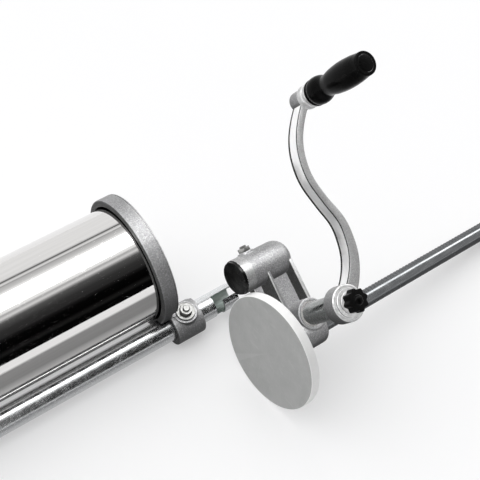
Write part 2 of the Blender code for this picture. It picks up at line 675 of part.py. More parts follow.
def make_head_casting(head):
    socket_profile = [
        (0, SOCKET_END),
        *arc_profile(SOCKET_RADIUS - SOCKET_END_ROUND, SOCKET_END - SOCKET_END_ROUND, SOCKET_END_ROUND,
                     math.radians(90), 0, 4),
        (SOCKET_RADIUS, SOCKET_MOUTH + SOCKET_EDGE),
        (SOCKET_RADIUS - SOCKET_EDGE, SOCKET_MOUTH),
        (0, SOCKET_MOUTH),
    ]
    casting = turned("head_casting", socket_profile, head, (0, RAIL_OFFSET, 0), ALONG_X, MEDIUM_STEPS, CASTING)
    rounded = arc_profile(HOUSING_RADIUS - HOUSING_ROUND, HOUSING_TO - HOUSING_ROUND, HOUSING_ROUND,
                          math.radians(90), 0, 4)
    housing = turned(
        "housing",
        [(0, HOUSING_TO), *rounded, (HOUSING_RADIUS, HOUSING_FROM + HOUSING_EDGE),
         (HOUSING_RADIUS - HOUSING_EDGE, HOUSING_FROM), (0, HOUSING_FROM)],
        head, turn=ALONG_X, steps=MEDIUM_STEPS, cutter=True)
    shaft_place = (SHAFT_AT, SHAFT_OFFSET, 0)
    boss = rod("shaft_boss", SHAFT_BOSS_RADIUS, -SHAFT_BOSS_HALF, SHAFT_BOSS_HALF, head, shaft_place,
               steps=MEDIUM_STEPS, edge=SOCKET_EDGE, cutter=True)
    upper = RAIL_OFFSET - SOCKET_RADIUS + RIB_THICKNESS
    lower = SHAFT_OFFSET
    web = plate("web", [[(NEAR_RIB_AT_HOUSING, lower), (FAR_RIB_AT_HOUSING, lower),
                         (FAR_RIB_AT_SOCKET, upper), (NEAR_RIB_AT_SOCKET, upper)]],
                WEB_THICKNESS, head, (0, 0, WEB_FRONT - 0.5 * WEB_THICKNESS), cutter=True)
    half = 0.5 * RIB_THICKNESS
    ribs = [
        plate(name, [[(at_housing - half, lower), (at_housing + half, lower),
                      (at_socket + half, upper), (at_socket - half, upper)]],
              2 * RIB_HALF, head, cutter=True)
        for name, at_socket, at_housing in (
            ("near_rib", NEAR_RIB_AT_SOCKET, NEAR_RIB_AT_HOUSING),
            ("far_rib", FAR_RIB_AT_SOCKET, FAR_RIB_AT_HOUSING),
        )
    ]
    lug_top = RAIL_OFFSET - 0.7 * SOCKET_RADIUS
    lug_floor = RIB_TOE - RIB_HALF
    lug = block("lug", (NEAR_RIB_AT_SOCKET - LUG_REACH, lug_top - LUG_WIDTH, lug_floor),
                (NEAR_RIB_AT_SOCKET, lug_top, lug_floor + LUG_DEPTH), head)
    lock_pad = rod("lock_pad", LOCK_PAD_RADIUS, 0, SOCKET_RADIUS + LOCK_PAD_RISE, head,
                   (LOCK_AT, RAIL_OFFSET, 0), ALONG_Y, steps=SMALL_STEPS, cutter=True)
    join(casting, housing, boss, web, *ribs, lug, lock_pad, solver="MANIFOLD")

    rail_room = rod("socket_bore", RAIL_RADIUS + RUN_GAP, SOCKET_MOUTH - CUT_OVERRUN,
                    SOCKET_MOUTH + SOCKET_BORE_DEPTH, head, (0, RAIL_OFFSET, 0), ALONG_X,
                    steps=MEDIUM_STEPS, cutter=True)
    seat_end = HOUSING_FROM + RACK_BUSH_LENGTH + SEAT_GAP
    bush_room = RACK_BUSH_RADIUS + SEAT_GAP
    rack_room = turned(
        "rack_room",
        [(0, HOUSING_TO + CUT_OVERRUN), (RACK_BORE, HOUSING_TO + CUT_OVERRUN), (RACK_BORE, seat_end),
         (bush_room, seat_end), (bush_room, HOUSING_FROM - CUT_OVERRUN), (0, HOUSING_FROM - CUT_OVERRUN)],
        head, turn=ALONG_X, steps=MEDIUM_STEPS, cutter=True)
    seat_from = PINION_HALF + RUN_GAP
    boss_end = SHAFT_BOSS_HALF + CUT_OVERRUN
    journal = SHAFT_RADIUS + RUN_GAP
    shaft_room = turned(
        "shaft_room",
        [(0, boss_end), (SHAFT_BORE, boss_end), (SHAFT_BORE, seat_from), (journal, seat_from),
         (journal, -seat_from), (SHAFT_BORE, -seat_from), (SHAFT_BORE, -boss_end), (0, -boss_end)],
        head, shaft_place, steps=MEDIUM_STEPS, cutter=True)
    lock_room = rod("lock_room", STUD_RADIUS + RUN_GAP, 0, SOCKET_RADIUS + CUT_OVERRUN, head,
                    (LOCK_AT, RAIL_OFFSET, 0), ALONG_Y, steps=FINE_STEPS, cutter=True)
    cut(casting, rail_room, rack_room, shaft_room, lock_room, solver="MANIFOLD")


def make_bushes(head):
    shaft_place = (SHAFT_AT, SHAFT_OFFSET, 0)
    low = PINION_HALF + RUN_GAP + SEAT_GAP
    high = SHAFT_BOSS_HALF - SHAFT_BUSH_INSET
    bore = SHAFT_RADIUS + RUN_GAP
    sleeve("shaft_bush_front", SHAFT_BUSH_RADIUS, bore, low, high, head, shaft_place, steps=MEDIUM_STEPS,
           material=BRONZE)
    sleeve("shaft_bush_rear", SHAFT_BUSH_RADIUS, bore, -high, -low, head, shaft_place, steps=MEDIUM_STEPS,
           material=BRONZE)
    sleeve("rack_bush", RACK_BUSH_RADIUS, RACK_BORE, HOUSING_FROM, HOUSING_FROM + RACK_BUSH_LENGTH, head,
           turn=ALONG_X, steps=MEDIUM_STEPS, material=BRONZE)


def make_lock(head, lock_axes):
    """The lock nut on the socket, and the screw whose tip rides in the rail's notch."""
    nut_low = SOCKET_RADIUS + LOCK_PAD_RISE + SEAT_GAP
    nut_high = nut_low + LOCK_NUT_HEIGHT
    nut("lock_nut", NUT_ACROSS_FLATS, LOCK_NUT_HEIGHT, head,
        (LOCK_AT, RAIL_OFFSET + 0.5 * (nut_low + nut_high), 0), ALONG_Y)
    rod("lock_screw", STUD_RADIUS, RAIL_BORE, nut_high + LOCK_SCREW_PROUD, lock_axes, turn=ALONG_Y,
        steps=FINE_STEPS, material=STEEL)


def involute(base, radius):
    """Polar angle of an involute at a radius, from where it leaves its base circle."""
    roll = math.sqrt(max(0, (radius / base) ** 2 - 1))
    return roll - math.atan(roll)


def pinion_outline():
    """Outline of the pinion, with a tooth gap centred on local -Y, where it meets the rack."""
    tip = PINION_PITCH_RADIUS + PINION_ADDENDUM
    root = PINION_PITCH_RADIUS - RACK_ADDENDUM - TOOTH_ROOT_GAP
    base = PINION_PITCH_RADIUS * math.cos(PRESSURE_ANGLE)
    half_at_pitch = (0.5 * TOOTH_PITCH - TOOTH_BACKLASH) / (2 * PINION_PITCH_RADIUS)
    at_base = half_at_pitch + involute(base, PINION_PITCH_RADIUS)
    flank = [(root, at_base), (base, at_base)]
    flank += [
        (radius, at_base - involute(base, radius))
        for radius in (0.5 * (base + PINION_PITCH_RADIUS), PINION_PITCH_RADIUS,
                       0.5 * (PINION_PITCH_RADIUS + tip), tip)
    ]
    points = []
    for tooth in range(PINION_TEETH):
        middle = math.radians(-90) + math.tau * (tooth + 0.5) / PINION_TEETH
        points += [(radius * math.cos(middle - a), radius * math.sin(middle - a)) for radius, a in flank]
        points += [(radius * math.cos(middle + a), radius * math.sin(middle + a)) for radius, a in reversed(flank)]
    return points


def make_shaft(crank):
    """The crank shaft: journals, the pinion cut into it, a circlip groove and drive flats in the hub."""
    tail = -SHAFT_BOSS_HALF - SHAFT_TAIL - SEAT_GAP
    clip_high = -SHAFT_BOSS_HALF - SEAT_GAP
    clip_low = clip_high - RETAINER_THICKNESS - 2 * SEAT_GAP
    groove = SHAFT_RADIUS - RETAINER_GROOVE
    neck = PINION_PITCH_RADIUS - RACK_ADDENDUM - TOOTH_ROOT_GAP
    profile = [
        (0, SHAFT_HOLE_END),
        (SHAFT_RADIUS, SHAFT_HOLE_END),
        (SHAFT_RADIUS, PINION_HALF),
        (neck, PINION_HALF),
        (neck, -PINION_HALF),
        (SHAFT_RADIUS, -PINION_HALF),
        (SHAFT_RADIUS, clip_high),
        (groove, clip_high),
        (groove, clip_low),
        (SHAFT_RADIUS, clip_low),
        (SHAFT_RADIUS, tail),
        (0, tail),
    ]
    shaft = turned("pinion_shaft", profile, crank, steps=MEDIUM_STEPS, material=STEEL)
    teeth = plate("pinion_teeth", [pinion_outline()], 2 * PINION_HALF + RUN_GAP, crank, cutter=True)
    join(shaft, teeth)
    flats = [
        block(f"drive_flat_{side}", (sign * (SHAFT_RADIUS - DRIVE_FLAT_DEPTH), -SHAFT_RADIUS - CUT_OVERRUN, HUB_FROM),
              (sign * (SHAFT_RADIUS + CUT_OVERRUN), SHAFT_RADIUS + CUT_OVERRUN, SHAFT_HOLE_END + CUT_OVERRUN), crank)
        for side, sign in (("near", -1), ("far", 1))
    ]
    stud_room = rod("knob_stud_room", KNOB_STUD_RADIUS + SEAT_GAP, SHAFT_HOLE_END - KNOB_STUD_DEPTH,
                    SHAFT_HOLE_END + CUT_OVERRUN, crank, steps=FINE_STEPS, cutter=True)
    cut(shaft, *flats, stud_room)
    ring = plate("shaft_retainer", [retainer_outline(groove + SEAT_GAP)], RETAINER_THICKNESS, crank,
                 (0, 0, 0.5 * (clip_high + clip_low)), material=STEEL)
    return ring


def retainer_outline(bore):
    """A circlip: an open ring, its gap on local +Y."""
    outer = bore + RETAINER_WALL
    count = 20
    gap = math.radians(25)
    sweep = math.tau - 2 * gap
    angles = [math.radians(90) + gap + sweep * i / count for i in range(count + 1)]
    outside = [(outer * math.cos(a), outer * math.sin(a)) for a in angles]
    inside = [(bore * math.cos(a), bore * math.sin(a)) for a in reversed(angles)]
    return outside + inside


def smooth_points(shares, length_x, length_y, steps):
    """Points on a smooth curve through the places that the shares give."""
    knots = [Vector((x * length_x, y * length_y)) for x, y in shares]
    knots = [2 * knots[0] - knots[1], *knots, 2 * knots[-1] - knots[-2]]
    points = []
    for i in range(1, len(knots) - 2):
        before, start, stop, after = knots[i - 1:i + 3]
        for k in range(steps):
            u = k / steps
            points.append(0.5 * (2 * start + (stop - before) * u
                                 + (2 * before - 5 * start + 4 * stop - after) * u ** 2
                                 + (3 * start - before - 3 * stop + after) * u ** 3))
    return [*points, knots[-2]]


def arm_outline():
    """The arm's outline about its curved middle line, narrowing from the hub to the grip."""
    middle = smooth_points(ARM_CURVE_SHARES, CRANK_ALONG, CRANK_REACH, ARM_STEPS)
    last = len(middle) - 1
    left, right = [], []
    for i, point in enumerate(middle):
        along = (middle[min(i + 1, last)] - middle[max(i - 1, 0)]).normalized()
        across = Vector((-along.y, along.x))
        taper = max(0, 1 - i / (ARM_TAPER_SHARE * last))
        half = 0.5 * (ARM_WIDTH + (ARM_WIDTH_AT_HUB - ARM_WIDTH) * taper)
        left.append(tuple(point + half * across))
        right.append(tuple(point - half * across))
    return right + list(reversed(left))


def make_crank_arm(crank):
    thickness = ARM_TO - ARM_FROM
    arm = plate("crank_arm", [arm_outline()], thickness, crank, (0, 0, 0.5 * (ARM_FROM + ARM_TO)),
                material=POLISHED)
    hub_profile = [
        (0, HUB_TO),
        (HUB_STEP_RADIUS, HUB_TO),
        (HUB_STEP_RADIUS, HUB_TO - HUB_STEP_HEIGHT),
        (HUB_RADIUS - HUB_EDGE, HUB_TO - HUB_STEP_HEIGHT),
        (HUB_RADIUS, HUB_TO - HUB_STEP_HEIGHT - HUB_EDGE),
        (HUB_RADIUS, HUB_FROM + HUB_EDGE),
        (HUB_RADIUS - HUB_EDGE, HUB_FROM),
        (0, HUB_FROM),
    ]
    hub = turned("hub", hub_profile, crank, steps=MEDIUM_STEPS, cutter=True)
    boss = rod("grip_boss", GRIP_BOSS_RADIUS, ARM_FROM, ARM_TO, crank, (CRANK_ALONG, CRANK_REACH, 0),
               steps=SMALL_STEPS, edge=GRIP_BOSS_EDGE, cutter=True)
    join(arm, hub, boss)
    room = SHAFT_RADIUS + SEAT_GAP
    hole = rod("hub_hole", room, min(ARM_FROM, HUB_FROM) - CUT_OVERRUN, HUB_TO + CUT_OVERRUN, crank,
               steps=MEDIUM_STEPS, cutter=True)
    spindle_hole = rod("spindle_hole", SPINDLE_RADIUS + SEAT_GAP, ARM_FROM - CUT_OVERRUN, ARM_TO + CUT_OVERRUN,
                       crank, (CRANK_ALONG, CRANK_REACH, 0), steps=FINE_STEPS, cutter=True)
    cut(arm, hole, spindle_hole)


def make_hub_washer(crank):
    low = HUB_TO + SEAT_GAP
    sleeve("hub_washer", HUB_WASHER_RADIUS, KNOB_STUD_RADIUS + SEAT_GAP, low, low + HUB_WASHER_THICKNESS, crank,
           steps=SMALL_STEPS, material=STEEL)


def make_knob(knob):
    count = 5 * KNOB_LOBES
    outline = [
        (
            KNOB_RADIUS * (1 - KNOB_LOBE_SHARE + KNOB_LOBE_SHARE * math.cos(KNOB_LOBES * a)) * math.cos(a),
            KNOB_RADIUS * (1 - KNOB_LOBE_SHARE + KNOB_LOBE_SHARE * math.cos(KNOB_LOBES * a)) * math.sin(a),
        )
        for a in (math.tau * i / count for i in range(count))
    ]
    star = plate("star_knob", [outline], KNOB_HEIGHT, knob, (0, 0, KNOB_FACE + 0.5 * KNOB_HEIGHT),
                 material=BLACK_PLASTIC)
    collar = rod("knob_collar", KNOB_COLLAR_RADIUS, KNOB_FOOT, KNOB_FACE + 0.5 * KNOB_HEIGHT, knob, cutter=True)
    stud_room = rod("knob_stud_seat", KNOB_STUD_RADIUS + SEAT_GAP, KNOB_FOOT - CUT_OVERRUN,
                    KNOB_FACE + 0.5 * KNOB_HEIGHT, knob, steps=FINE_STEPS, cutter=True)
    join(star, collar)
    cut(star, stud_room)
    rod("knob_stud", KNOB_STUD_RADIUS, SHAFT_HOLE_END - KNOB_STUD_DEPTH + SEAT_GAP,
        KNOB_FACE + 0.5 * KNOB_HEIGHT - SEAT_GAP, knob, steps=FINE_STEPS, material=STEEL)
    top = KNOB_FACE + KNOB_HEIGHT + SEAT_GAP
    dome = [
        (KNOB_CAP_RADIUS * math.sin(a), top + KNOB_CAP_HEIGHT * math.cos(a))
        for a in (math.radians(90) * i / 4 for i in range(5))
    ]
    turned("knob_cap", [*dome, (0, top)], knob, steps=SMALL_STEPS, material=BLACK_PLASTIC)


def grip_profile():
    """Radius along the grip, from its foot to its rounded end, as shares of its length."""
    shape = (
        (0.0, 0.80 * GRIP_BULB_RADIUS),
        (0.05, 0.95 * GRIP_BULB_RADIUS),
        (0.14, GRIP_BULB_RADIUS),
        (0.24, 0.93 * GRIP_BULB_RADIUS),
        (0.36, GRIP_NECK_RADIUS),
        (0.44, 1.03 * GRIP_NECK_RADIUS),
        (0.56, 0.93 * GRIP_SWELL_RADIUS),
        (0.68, GRIP_SWELL_RADIUS),
        (0.82, 0.97 * GRIP_SWELL_RADIUS),
        (0.95, GRIP_END_RADIUS),
        (0.985, 0.93 * GRIP_END_RADIUS),
        (1.0, 0.80 * GRIP_END_RADIUS),
    )
    return [(radius, GRIP_FOOT + share * GRIP_LENGTH) for share, radius in reversed(shape)]


def make_grip(crank, grip_axes):
    """The turning grip, its end plug, the bright ring under it and the spindle that carries it."""
    at = (CRANK_ALONG, CRANK_REACH, 0)
    end = GRIP_FOOT + GRIP_LENGTH
    plug_floor = end - GRIP_PLUG_THICKNESS
    head_floor = plug_floor - SEAT_GAP - SPINDLE_HEAD_THICKNESS
    room = SPINDLE_HEAD_RADIUS + RUN_GAP
    plug_room = GRIP_PLUG_RADIUS + SEAT_GAP
    profile = [
        *grip_profile(),
        (GRIP_BORE_RADIUS, GRIP_FOOT),
        (GRIP_BORE_RADIUS, head_floor - SEAT_GAP),
        (room, head_floor - SEAT_GAP),
        (room, plug_floor - SEAT_GAP),
        (plug_room, plug_floor - SEAT_GAP),
        (plug_room, end),
    ]
    turned("grip", profile, grip_axes, steps=MEDIUM_STEPS, material=BLACK_PLASTIC)
    rod("grip_plug", GRIP_PLUG_RADIUS, plug_floor, end, grip_axes, steps=SMALL_STEPS, material=BLACK_PLASTIC)
    sleeve("grip_ring", GRIP_RING_RADIUS, SPINDLE_RADIUS + SEAT_GAP, GRIP_RING_FOOT,
           GRIP_RING_FOOT + GRIP_RING_THICKNESS, crank, at, steps=SMALL_STEPS, material=STEEL)
    spindle = [
        (0, plug_floor - SEAT_GAP),
        (SPINDLE_HEAD_RADIUS, plug_floor - SEAT_GAP),
        (SPINDLE_HEAD_RADIUS, head_floor),
        (SPINDLE_RADIUS, head_floor),
        (SPINDLE_RADIUS, ARM_FROM),
        (0, ARM_FROM),
    ]
    turned("grip_spindle", spindle, crank, at, steps=FINE_STEPS, material=STEEL)


def rack_comb():
    """Outline of what is milled off the rack's upper side: everything above its teeth."""
    slope = math.tan(PRESSURE_ANGLE)
    half_pitch_line = 0.25 * TOOTH_PITCH - 0.5 * TOOTH_BACKLASH
    half_crest = half_pitch_line - RACK_ADDENDUM * slope
    half_root = half_pitch_line + (RACK_PITCH_LINE - RACK_ROOT) * slope
    above = RACK_RADIUS + CUT_OVERRUN
    first = math.ceil((RACK_TOOTHED_FROM - SHAFT_AT) / TOOTH_PITCH)
    last = math.floor((RACK_TOOTHED_TO - SHAFT_AT) / TOOTH_PITCH)
    points = [(SHAFT_AT + first * TOOTH_PITCH - half_root - (0.5 * TOOTH_PITCH - half_root), RACK_ROOT)]
    for tooth in range(first, last + 1):
        middle = SHAFT_AT + tooth * TOOTH_PITCH
        points += [
            (middle - half_root, RACK_ROOT),
            (middle - half_crest, RACK_CREST),
            (middle + half_crest, RACK_CREST),
            (middle + half_root, RACK_ROOT),
        ]
    end = SHAFT_AT + (last + 0.5) * TOOTH_PITCH
    points += [(end, RACK_ROOT), (end, above), (points[0][0], above)]
    return points


def make_rack(rack):
    start = PUSHER_THICKNESS + PUSHER_HUB_LENGTH - PUSHER_BORE_DEPTH + SEAT_GAP
    bar = rod("rack_bar", RACK_RADIUS, start, RACK_LENGTH - TAIL_SCREW_THICKNESS - SEAT_GAP, rack, turn=ALONG_X,
              steps=SMALL_STEPS, material=CHROME)
    comb = plate("rack_comb", [rack_comb()], 2 * (RACK_RADIUS + CUT_OVERRUN), rack, cutter=True)
    cut(bar, comb)
    rod("rack_end_button", TAIL_SCREW_RADIUS, RACK_LENGTH - TAIL_SCREW_THICKNESS, RACK_LENGTH, rack, turn=ALONG_X,
        steps=SMALL_STEPS, material=STEEL)
    hub_end = PUSHER_THICKNESS + PUSHER_HUB_LENGTH
    room = RACK_RADIUS + SEAT_GAP
    floor = hub_end - PUSHER_BORE_DEPTH
    profile = [
        (0, floor),
        (room, floor),
        (room, hub_end),
        (PUSHER_HUB_RADIUS, hub_end),
        (PUSHER_HUB_RADIUS, PUSHER_THICKNESS),
        (PUSHER_RADIUS - PUSHER_EDGE, PUSHER_THICKNESS),
        (PUSHER_RADIUS, PUSHER_THICKNESS - PUSHER_EDGE),
        (PUSHER_RADIUS, PUSHER_EDGE),
        (PUSHER_RADIUS - PUSHER_EDGE, 0),
        (0, 0),
    ]
    turned("pusher_disc", profile, rack, turn=ALONG_X, steps=LARGE_STEPS, material=PALE_PLASTIC)
    sleeve("pusher_lock_ring", LOCK_RING_RADIUS, room, hub_end + SEAT_GAP, hub_end + SEAT_GAP + LOCK_RING_THICKNESS,
           rack, turn=ALONG_X, steps=SMALL_STEPS, material=STEEL)


# Placing

def frame_turn():
    """The frame's roll about X that leaves its collars and bosses standing on the table."""
    return math.radians(90) - FRAME_LEAN


def head_turn():
    """The loose head lies on its pusher's lower edge and on the rack's tail."""
    along = Vector((math.cos(HEAD_YAW) * math.cos(HEAD_PITCH), math.sin(HEAD_YAW) * math.cos(HEAD_PITCH),
                    -math.sin(HEAD_PITCH)))
    level = Vector((-math.sin(HEAD_YAW), math.cos(HEAD_YAW), 0))
    upright = along.cross(level)
    socket_side = level * math.sin(HEAD_LEAN) + upright * math.cos(HEAD_LEAN)
    return Matrix((along, socket_side, along.cross(socket_side))).transposed().to_euler()


def build():
    ground = axes("ground")
    frame = axes("frame_axes", ground, (0, 0, AXIS_HEIGHT), (frame_turn(), 0, 0))
    make_barrel(frame)
    make_collar("rear_collar", frame, 0, 1)
    make_collar("front_collar", frame, FRONT_COLLAR_NEAR, -1)
    make_clamp("rear_clamp", frame, 0, 1)
    make_clamp("front_clamp", frame, FRONT_COLLAR_NEAR, -1)
    make_rail(frame)
    make_front(frame)
    nozzle_axes = axes("nozzle_axes", frame)
    nut_axes = axes("ring_nut_axes", nozzle_axes)
    make_nozzle(nozzle_axes, nut_axes)

    head = axes("head_axes", ground, (HEAD_AHEAD, -HEAD_ASIDE, HEAD_HEIGHT), head_turn())
    make_head_casting(head)
    make_bushes(head)
    make_lock(head, axes("lock_axes", head, (LOCK_AT, RAIL_OFFSET, 0)))
    crank = axes("crank_axes", head, (SHAFT_AT, SHAFT_OFFSET, 0))
    make_shaft(crank)
    make_crank_arm(crank)
    make_hub_washer(crank)
    make_knob(axes("knob_axes", crank))
    make_grip(crank, axes("grip_axes", crank, (CRANK_ALONG, CRANK_REACH, 0)))
    make_rack(axes("rack_axes", head))
    centre_on_table(ground)


def centre_on_table(ground):
    """Moves everything so that the middle of its footprint is the origin."""
    bpy.context.view_layer.update()
    graph = bpy.context.evaluated_depsgraph_get()
    low = Vector((math.inf, math.inf, math.inf))
    high = -low
    for obj in PARTS.objects:
        if obj.type != "MESH":
            continue
        evaluated = obj.evaluated_get(graph)
        for vertex in evaluated.data.vertices:
            place = evaluated.matrix_world @ vertex.co
            low = Vector(map(min, low, place))
            high = Vector(map(max, high, place))
    ground.location = (-0.5 * (low.x + high.x), -0.5 * (low.y + high.y), -low.z)


def shade():
    for obj in PARTS.objects:
        if obj.type == "MESH" and obj.data.polygons:
            obj.data.shade_smooth()
            obj.data.set_sharp_from_angle(angle=math.radians(35))


build()
shade()
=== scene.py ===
"""The looks of the sausage stuffer: fine pieces, finishes, floor, light and camera.

Metres, +Z up. Every piece is modelled in the axes of what it belongs to: the frame's (X along the
barrel, the rail at -Y), the head's (X along the rack, Y to the socket, Z along the crank shaft) or
a fastener's own, and is then settled in its place with its object at the origin.
"""
import json
import math
from contextlib import contextmanager

import bmesh
import bpy
from mathutils import Matrix, Vector


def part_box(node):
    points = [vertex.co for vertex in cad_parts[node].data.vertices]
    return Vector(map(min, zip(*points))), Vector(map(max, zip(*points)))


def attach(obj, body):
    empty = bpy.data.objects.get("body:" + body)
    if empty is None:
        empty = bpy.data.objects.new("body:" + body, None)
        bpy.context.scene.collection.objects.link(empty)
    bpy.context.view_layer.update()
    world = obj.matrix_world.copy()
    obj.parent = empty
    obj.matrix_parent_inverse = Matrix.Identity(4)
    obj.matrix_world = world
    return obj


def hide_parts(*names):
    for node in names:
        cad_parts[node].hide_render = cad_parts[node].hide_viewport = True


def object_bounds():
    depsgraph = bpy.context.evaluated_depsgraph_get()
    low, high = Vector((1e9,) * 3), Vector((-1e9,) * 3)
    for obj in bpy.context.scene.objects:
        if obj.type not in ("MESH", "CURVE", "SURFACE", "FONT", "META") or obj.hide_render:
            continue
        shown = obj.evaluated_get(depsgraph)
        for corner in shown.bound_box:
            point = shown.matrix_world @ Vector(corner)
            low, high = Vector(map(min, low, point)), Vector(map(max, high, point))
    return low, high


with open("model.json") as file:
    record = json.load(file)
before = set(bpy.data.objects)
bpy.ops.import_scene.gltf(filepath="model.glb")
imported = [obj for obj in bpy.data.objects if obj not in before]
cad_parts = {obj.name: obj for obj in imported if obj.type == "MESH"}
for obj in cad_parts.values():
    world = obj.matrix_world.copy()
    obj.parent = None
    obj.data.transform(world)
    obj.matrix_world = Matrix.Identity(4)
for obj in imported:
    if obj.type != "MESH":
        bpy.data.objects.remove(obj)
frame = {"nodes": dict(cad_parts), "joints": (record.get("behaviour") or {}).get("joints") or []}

CAD_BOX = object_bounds()
JOINTS = {joint["name"]: joint for joint in frame["joints"]}

# Gaps that touching and running pieces keep
GAP = 0.0003
OVERRUN = 0.002

# Barrel and collars
BARREL_RADIUS = 0.0522
BARREL_WALL = 0.0009
BARREL_LENGTH = 0.246
COLLAR_RADIUS = 0.0595
COLLAR_WIDTH = 0.0138
COLLAR_LIP = 0.0016
COLLAR_MOUTH_GAP = 0.0014
COLLAR_MOUTH_DEPTH = 0.006
BOSS_RADIUS = 0.0163
BOSS_START = 0.0085
BOSS_LENGTH = 0.028
BOSS_ROUND = 0.0014
BOSS_MOUTH_GAP = 0.0013
BOSS_MOUTH_DEPTH = 0.003
EDGE_LINE_DEPTH = 0.0005
EDGE_LINE_WIDTH = 0.0005
EDGE_LINE_INSET = 0.0012
CLAMP_AT = 0.0226
CLAMP_TILT = math.radians(25)
CLAMP_PAD_RADIUS = 0.0104
CLAMP_PAD_RISE = 0.0012

# Rail and its bayonet notch
RAIL_RADIUS = 0.011
RAIL_WALL = 0.0015
RAIL_BEYOND = 0.075
RAIL_FRONT_OVERHANG = 0.03
NOTCH_START = 0.0515
NOTCH_CROSS_WIDTH = 0.0085
NOTCH_ENTRY_FROM = math.radians(3)
NOTCH_ENTRY_TO = math.radians(45)
NOTCH_CROSS_FROM = math.radians(-110)
NOTCH_CORNER = 0.0022
PLUG_HEAD = 0.003
PLUG_DEPTH = 0.012

# Threaded fasteners
STUD_RADIUS = 0.003
THREAD_PITCH = 0.0008
THREAD_DEPTH = 0.00035
NUT_ACROSS_FLATS = 0.010
NUT_HEIGHT = 0.0042
WASHER_RADIUS = 0.0085
WASHER_THICKNESS = 0.0016
STUD_PROUD = 0.0016

# Front cap, nozzle and ring nut
CAP_FLANGE = 0.003
CAP_FLANGE_INSET = 0.0006
CAP_PLUG_DEPTH = 0.022
CAP_WALL = 0.004
CAP_NECK_RADIUS = 0.019
CAP_NECK_LENGTH = 0.016
CAP_NECK_WALL = 0.003
GASKET_SECTION = 0.0013
GASKET_INSET = 0.005
SCREW_HEAD_RADIUS = 0.003
SCREW_HEAD_HEIGHT = 0.0024
SCREW_SHANK_RADIUS = 0.0015
SCREW_SHANK_LENGTH = 0.009
SCREW_SOCKET_DEPTH = 0.0015
SCREW_SOCKET_ACROSS_FLATS = 0.0028
CAP_SCREW_COUNT = 3
NOZZLE_FLANGE = 0.0025
NOZZLE_FLANGE_INSET = 0.001
NOZZLE_BASE_RADIUS = 0.0135
NOZZLE_TIP_RADIUS = 0.009
NOZZLE_WALL = 0.0012
NOZZLE_LENGTH = 0.12
RING_NUT_WALL = 0.0035
RING_NUT_LOBE = 0.0018
RING_NUT_LOBES = 10
RING_NUT_FACE = 0.003

# Rack, pusher disc and their fittings
RACK_RADIUS = 0.008
RACK_LENGTH = 0.31
RACK_FLAT_DEPTH = 0.0013
TOOTH_PITCH = math.pi * 0.00125
TOOTH_DEPTH = 0.0024
TOOTH_CREST = 0.0011
TOOTH_GAP_FLOOR = 0.0011
RACK_TOOTHED_FROM = 0.0335
RACK_TAIL_PLAIN = 0.008
TAIL_BUTTON_RADIUS = 0.0062
TAIL_BUTTON_THICKNESS = 0.002
PUSHER_RADIUS = BARREL_RADIUS - BARREL_WALL - 0.001
PUSHER_THICKNESS = 0.0085
PUSHER_EDGE = 0.0008
PUSHER_HUB_RADIUS = 0.013
PUSHER_HUB_LENGTH = 0.006
PUSHER_BORE_DEPTH = 0.011
LOCK_RING_RADIUS = 0.0115
LOCK_RING_THICKNESS = 0.004

# Head casting
SOCKET_OFFSET = 0.066
SOCKET_RADIUS = 0.0149
SOCKET_MOUTH = 0.0036
SOCKET_LENGTH = 0.0522
SOCKET_BORE_DEPTH = 0.038
SOCKET_END_ROUND = 0.0112
SOCKET_RIM = 0.0010
SOCKET_BAND = 0.0085
HOUSING_RADIUS = 0.0145
HOUSING_FROM = 0.0245
HOUSING_TO = 0.0562
HOUSING_ROUND = 0.0048
SHAFT_BOSS_RADIUS = 0.0134
SHAFT_BOSS_HALF = 0.0153
SHAFT_AT = 0.0447
SHAFT_OFFSET = 0.012775
WEB_FRONT = 0.0008
WEB_THICKNESS = 0.0042
RIB_HALF = 0.0135
RIB_EDGE = 0.0008
BOSS_LINE_RADIUS = 0.0121
NEAR_RIB_AT_SOCKET = (0.0240, 0.0264)
NEAR_RIB_AT_HOUSING = (0.0236, 0.0287)
FAR_RIB_AT_SOCKET = (0.0482, 0.0513)
FAR_RIB_AT_HOUSING = (0.0490, 0.0520)
LUG_REACH = 0.0075
LUG_WIDTH = 0.012
LUG_DEPTH = 0.008
LOCK_AT = 0.0213
LOCK_PAD_RADIUS = 0.0068
LOCK_PAD_RISE = 0.0008
LOCK_NUT_HEIGHT = 0.0034
LOCK_SCREW_PROUD = 0.0016
RACK_BUSH_WALL = 0.0014
RACK_BUSH_LENGTH = 0.0085
SHAFT_BUSH_WALL = 0.0014
SHAFT_BUSH_INSET = 0.0005

# Crank shaft, hub, arm, knob and grip
SHAFT_RADIUS = 0.00875
PINION_HALF = 0.0084
PINION_TEETH = 11
PINION_ROOT = 0.0057
PINION_TIP = 0.00806
SHAFT_TAIL = 0.0035
SHAFT_SLEEVE_RADIUS = 0.0095
RETAINER_THICKNESS = 0.0015
RETAINER_WALL = 0.0024
RETAINER_GROOVE = 0.0012
HUB_RADIUS = 0.0152
HUB_FROM = 0.054
HUB_TO = 0.0685
HUB_EDGE = 0.0010
HUB_STEP_RADIUS = 0.0118
HUB_STEP_HEIGHT = 0.0012
SHAFT_END_GAP = 0.001
HUB_WASHER_RADIUS = 0.0092
HUB_WASHER_THICKNESS = 0.0016
ARM_FROM = 0.0532
ARM_TO = 0.0664
ARM_WIDTH_AT_HUB = 0.0119
ARM_WIDTH = 0.0066
ARM_TAPER_SHARE = 0.5
ARM_EDGE = 0.0010
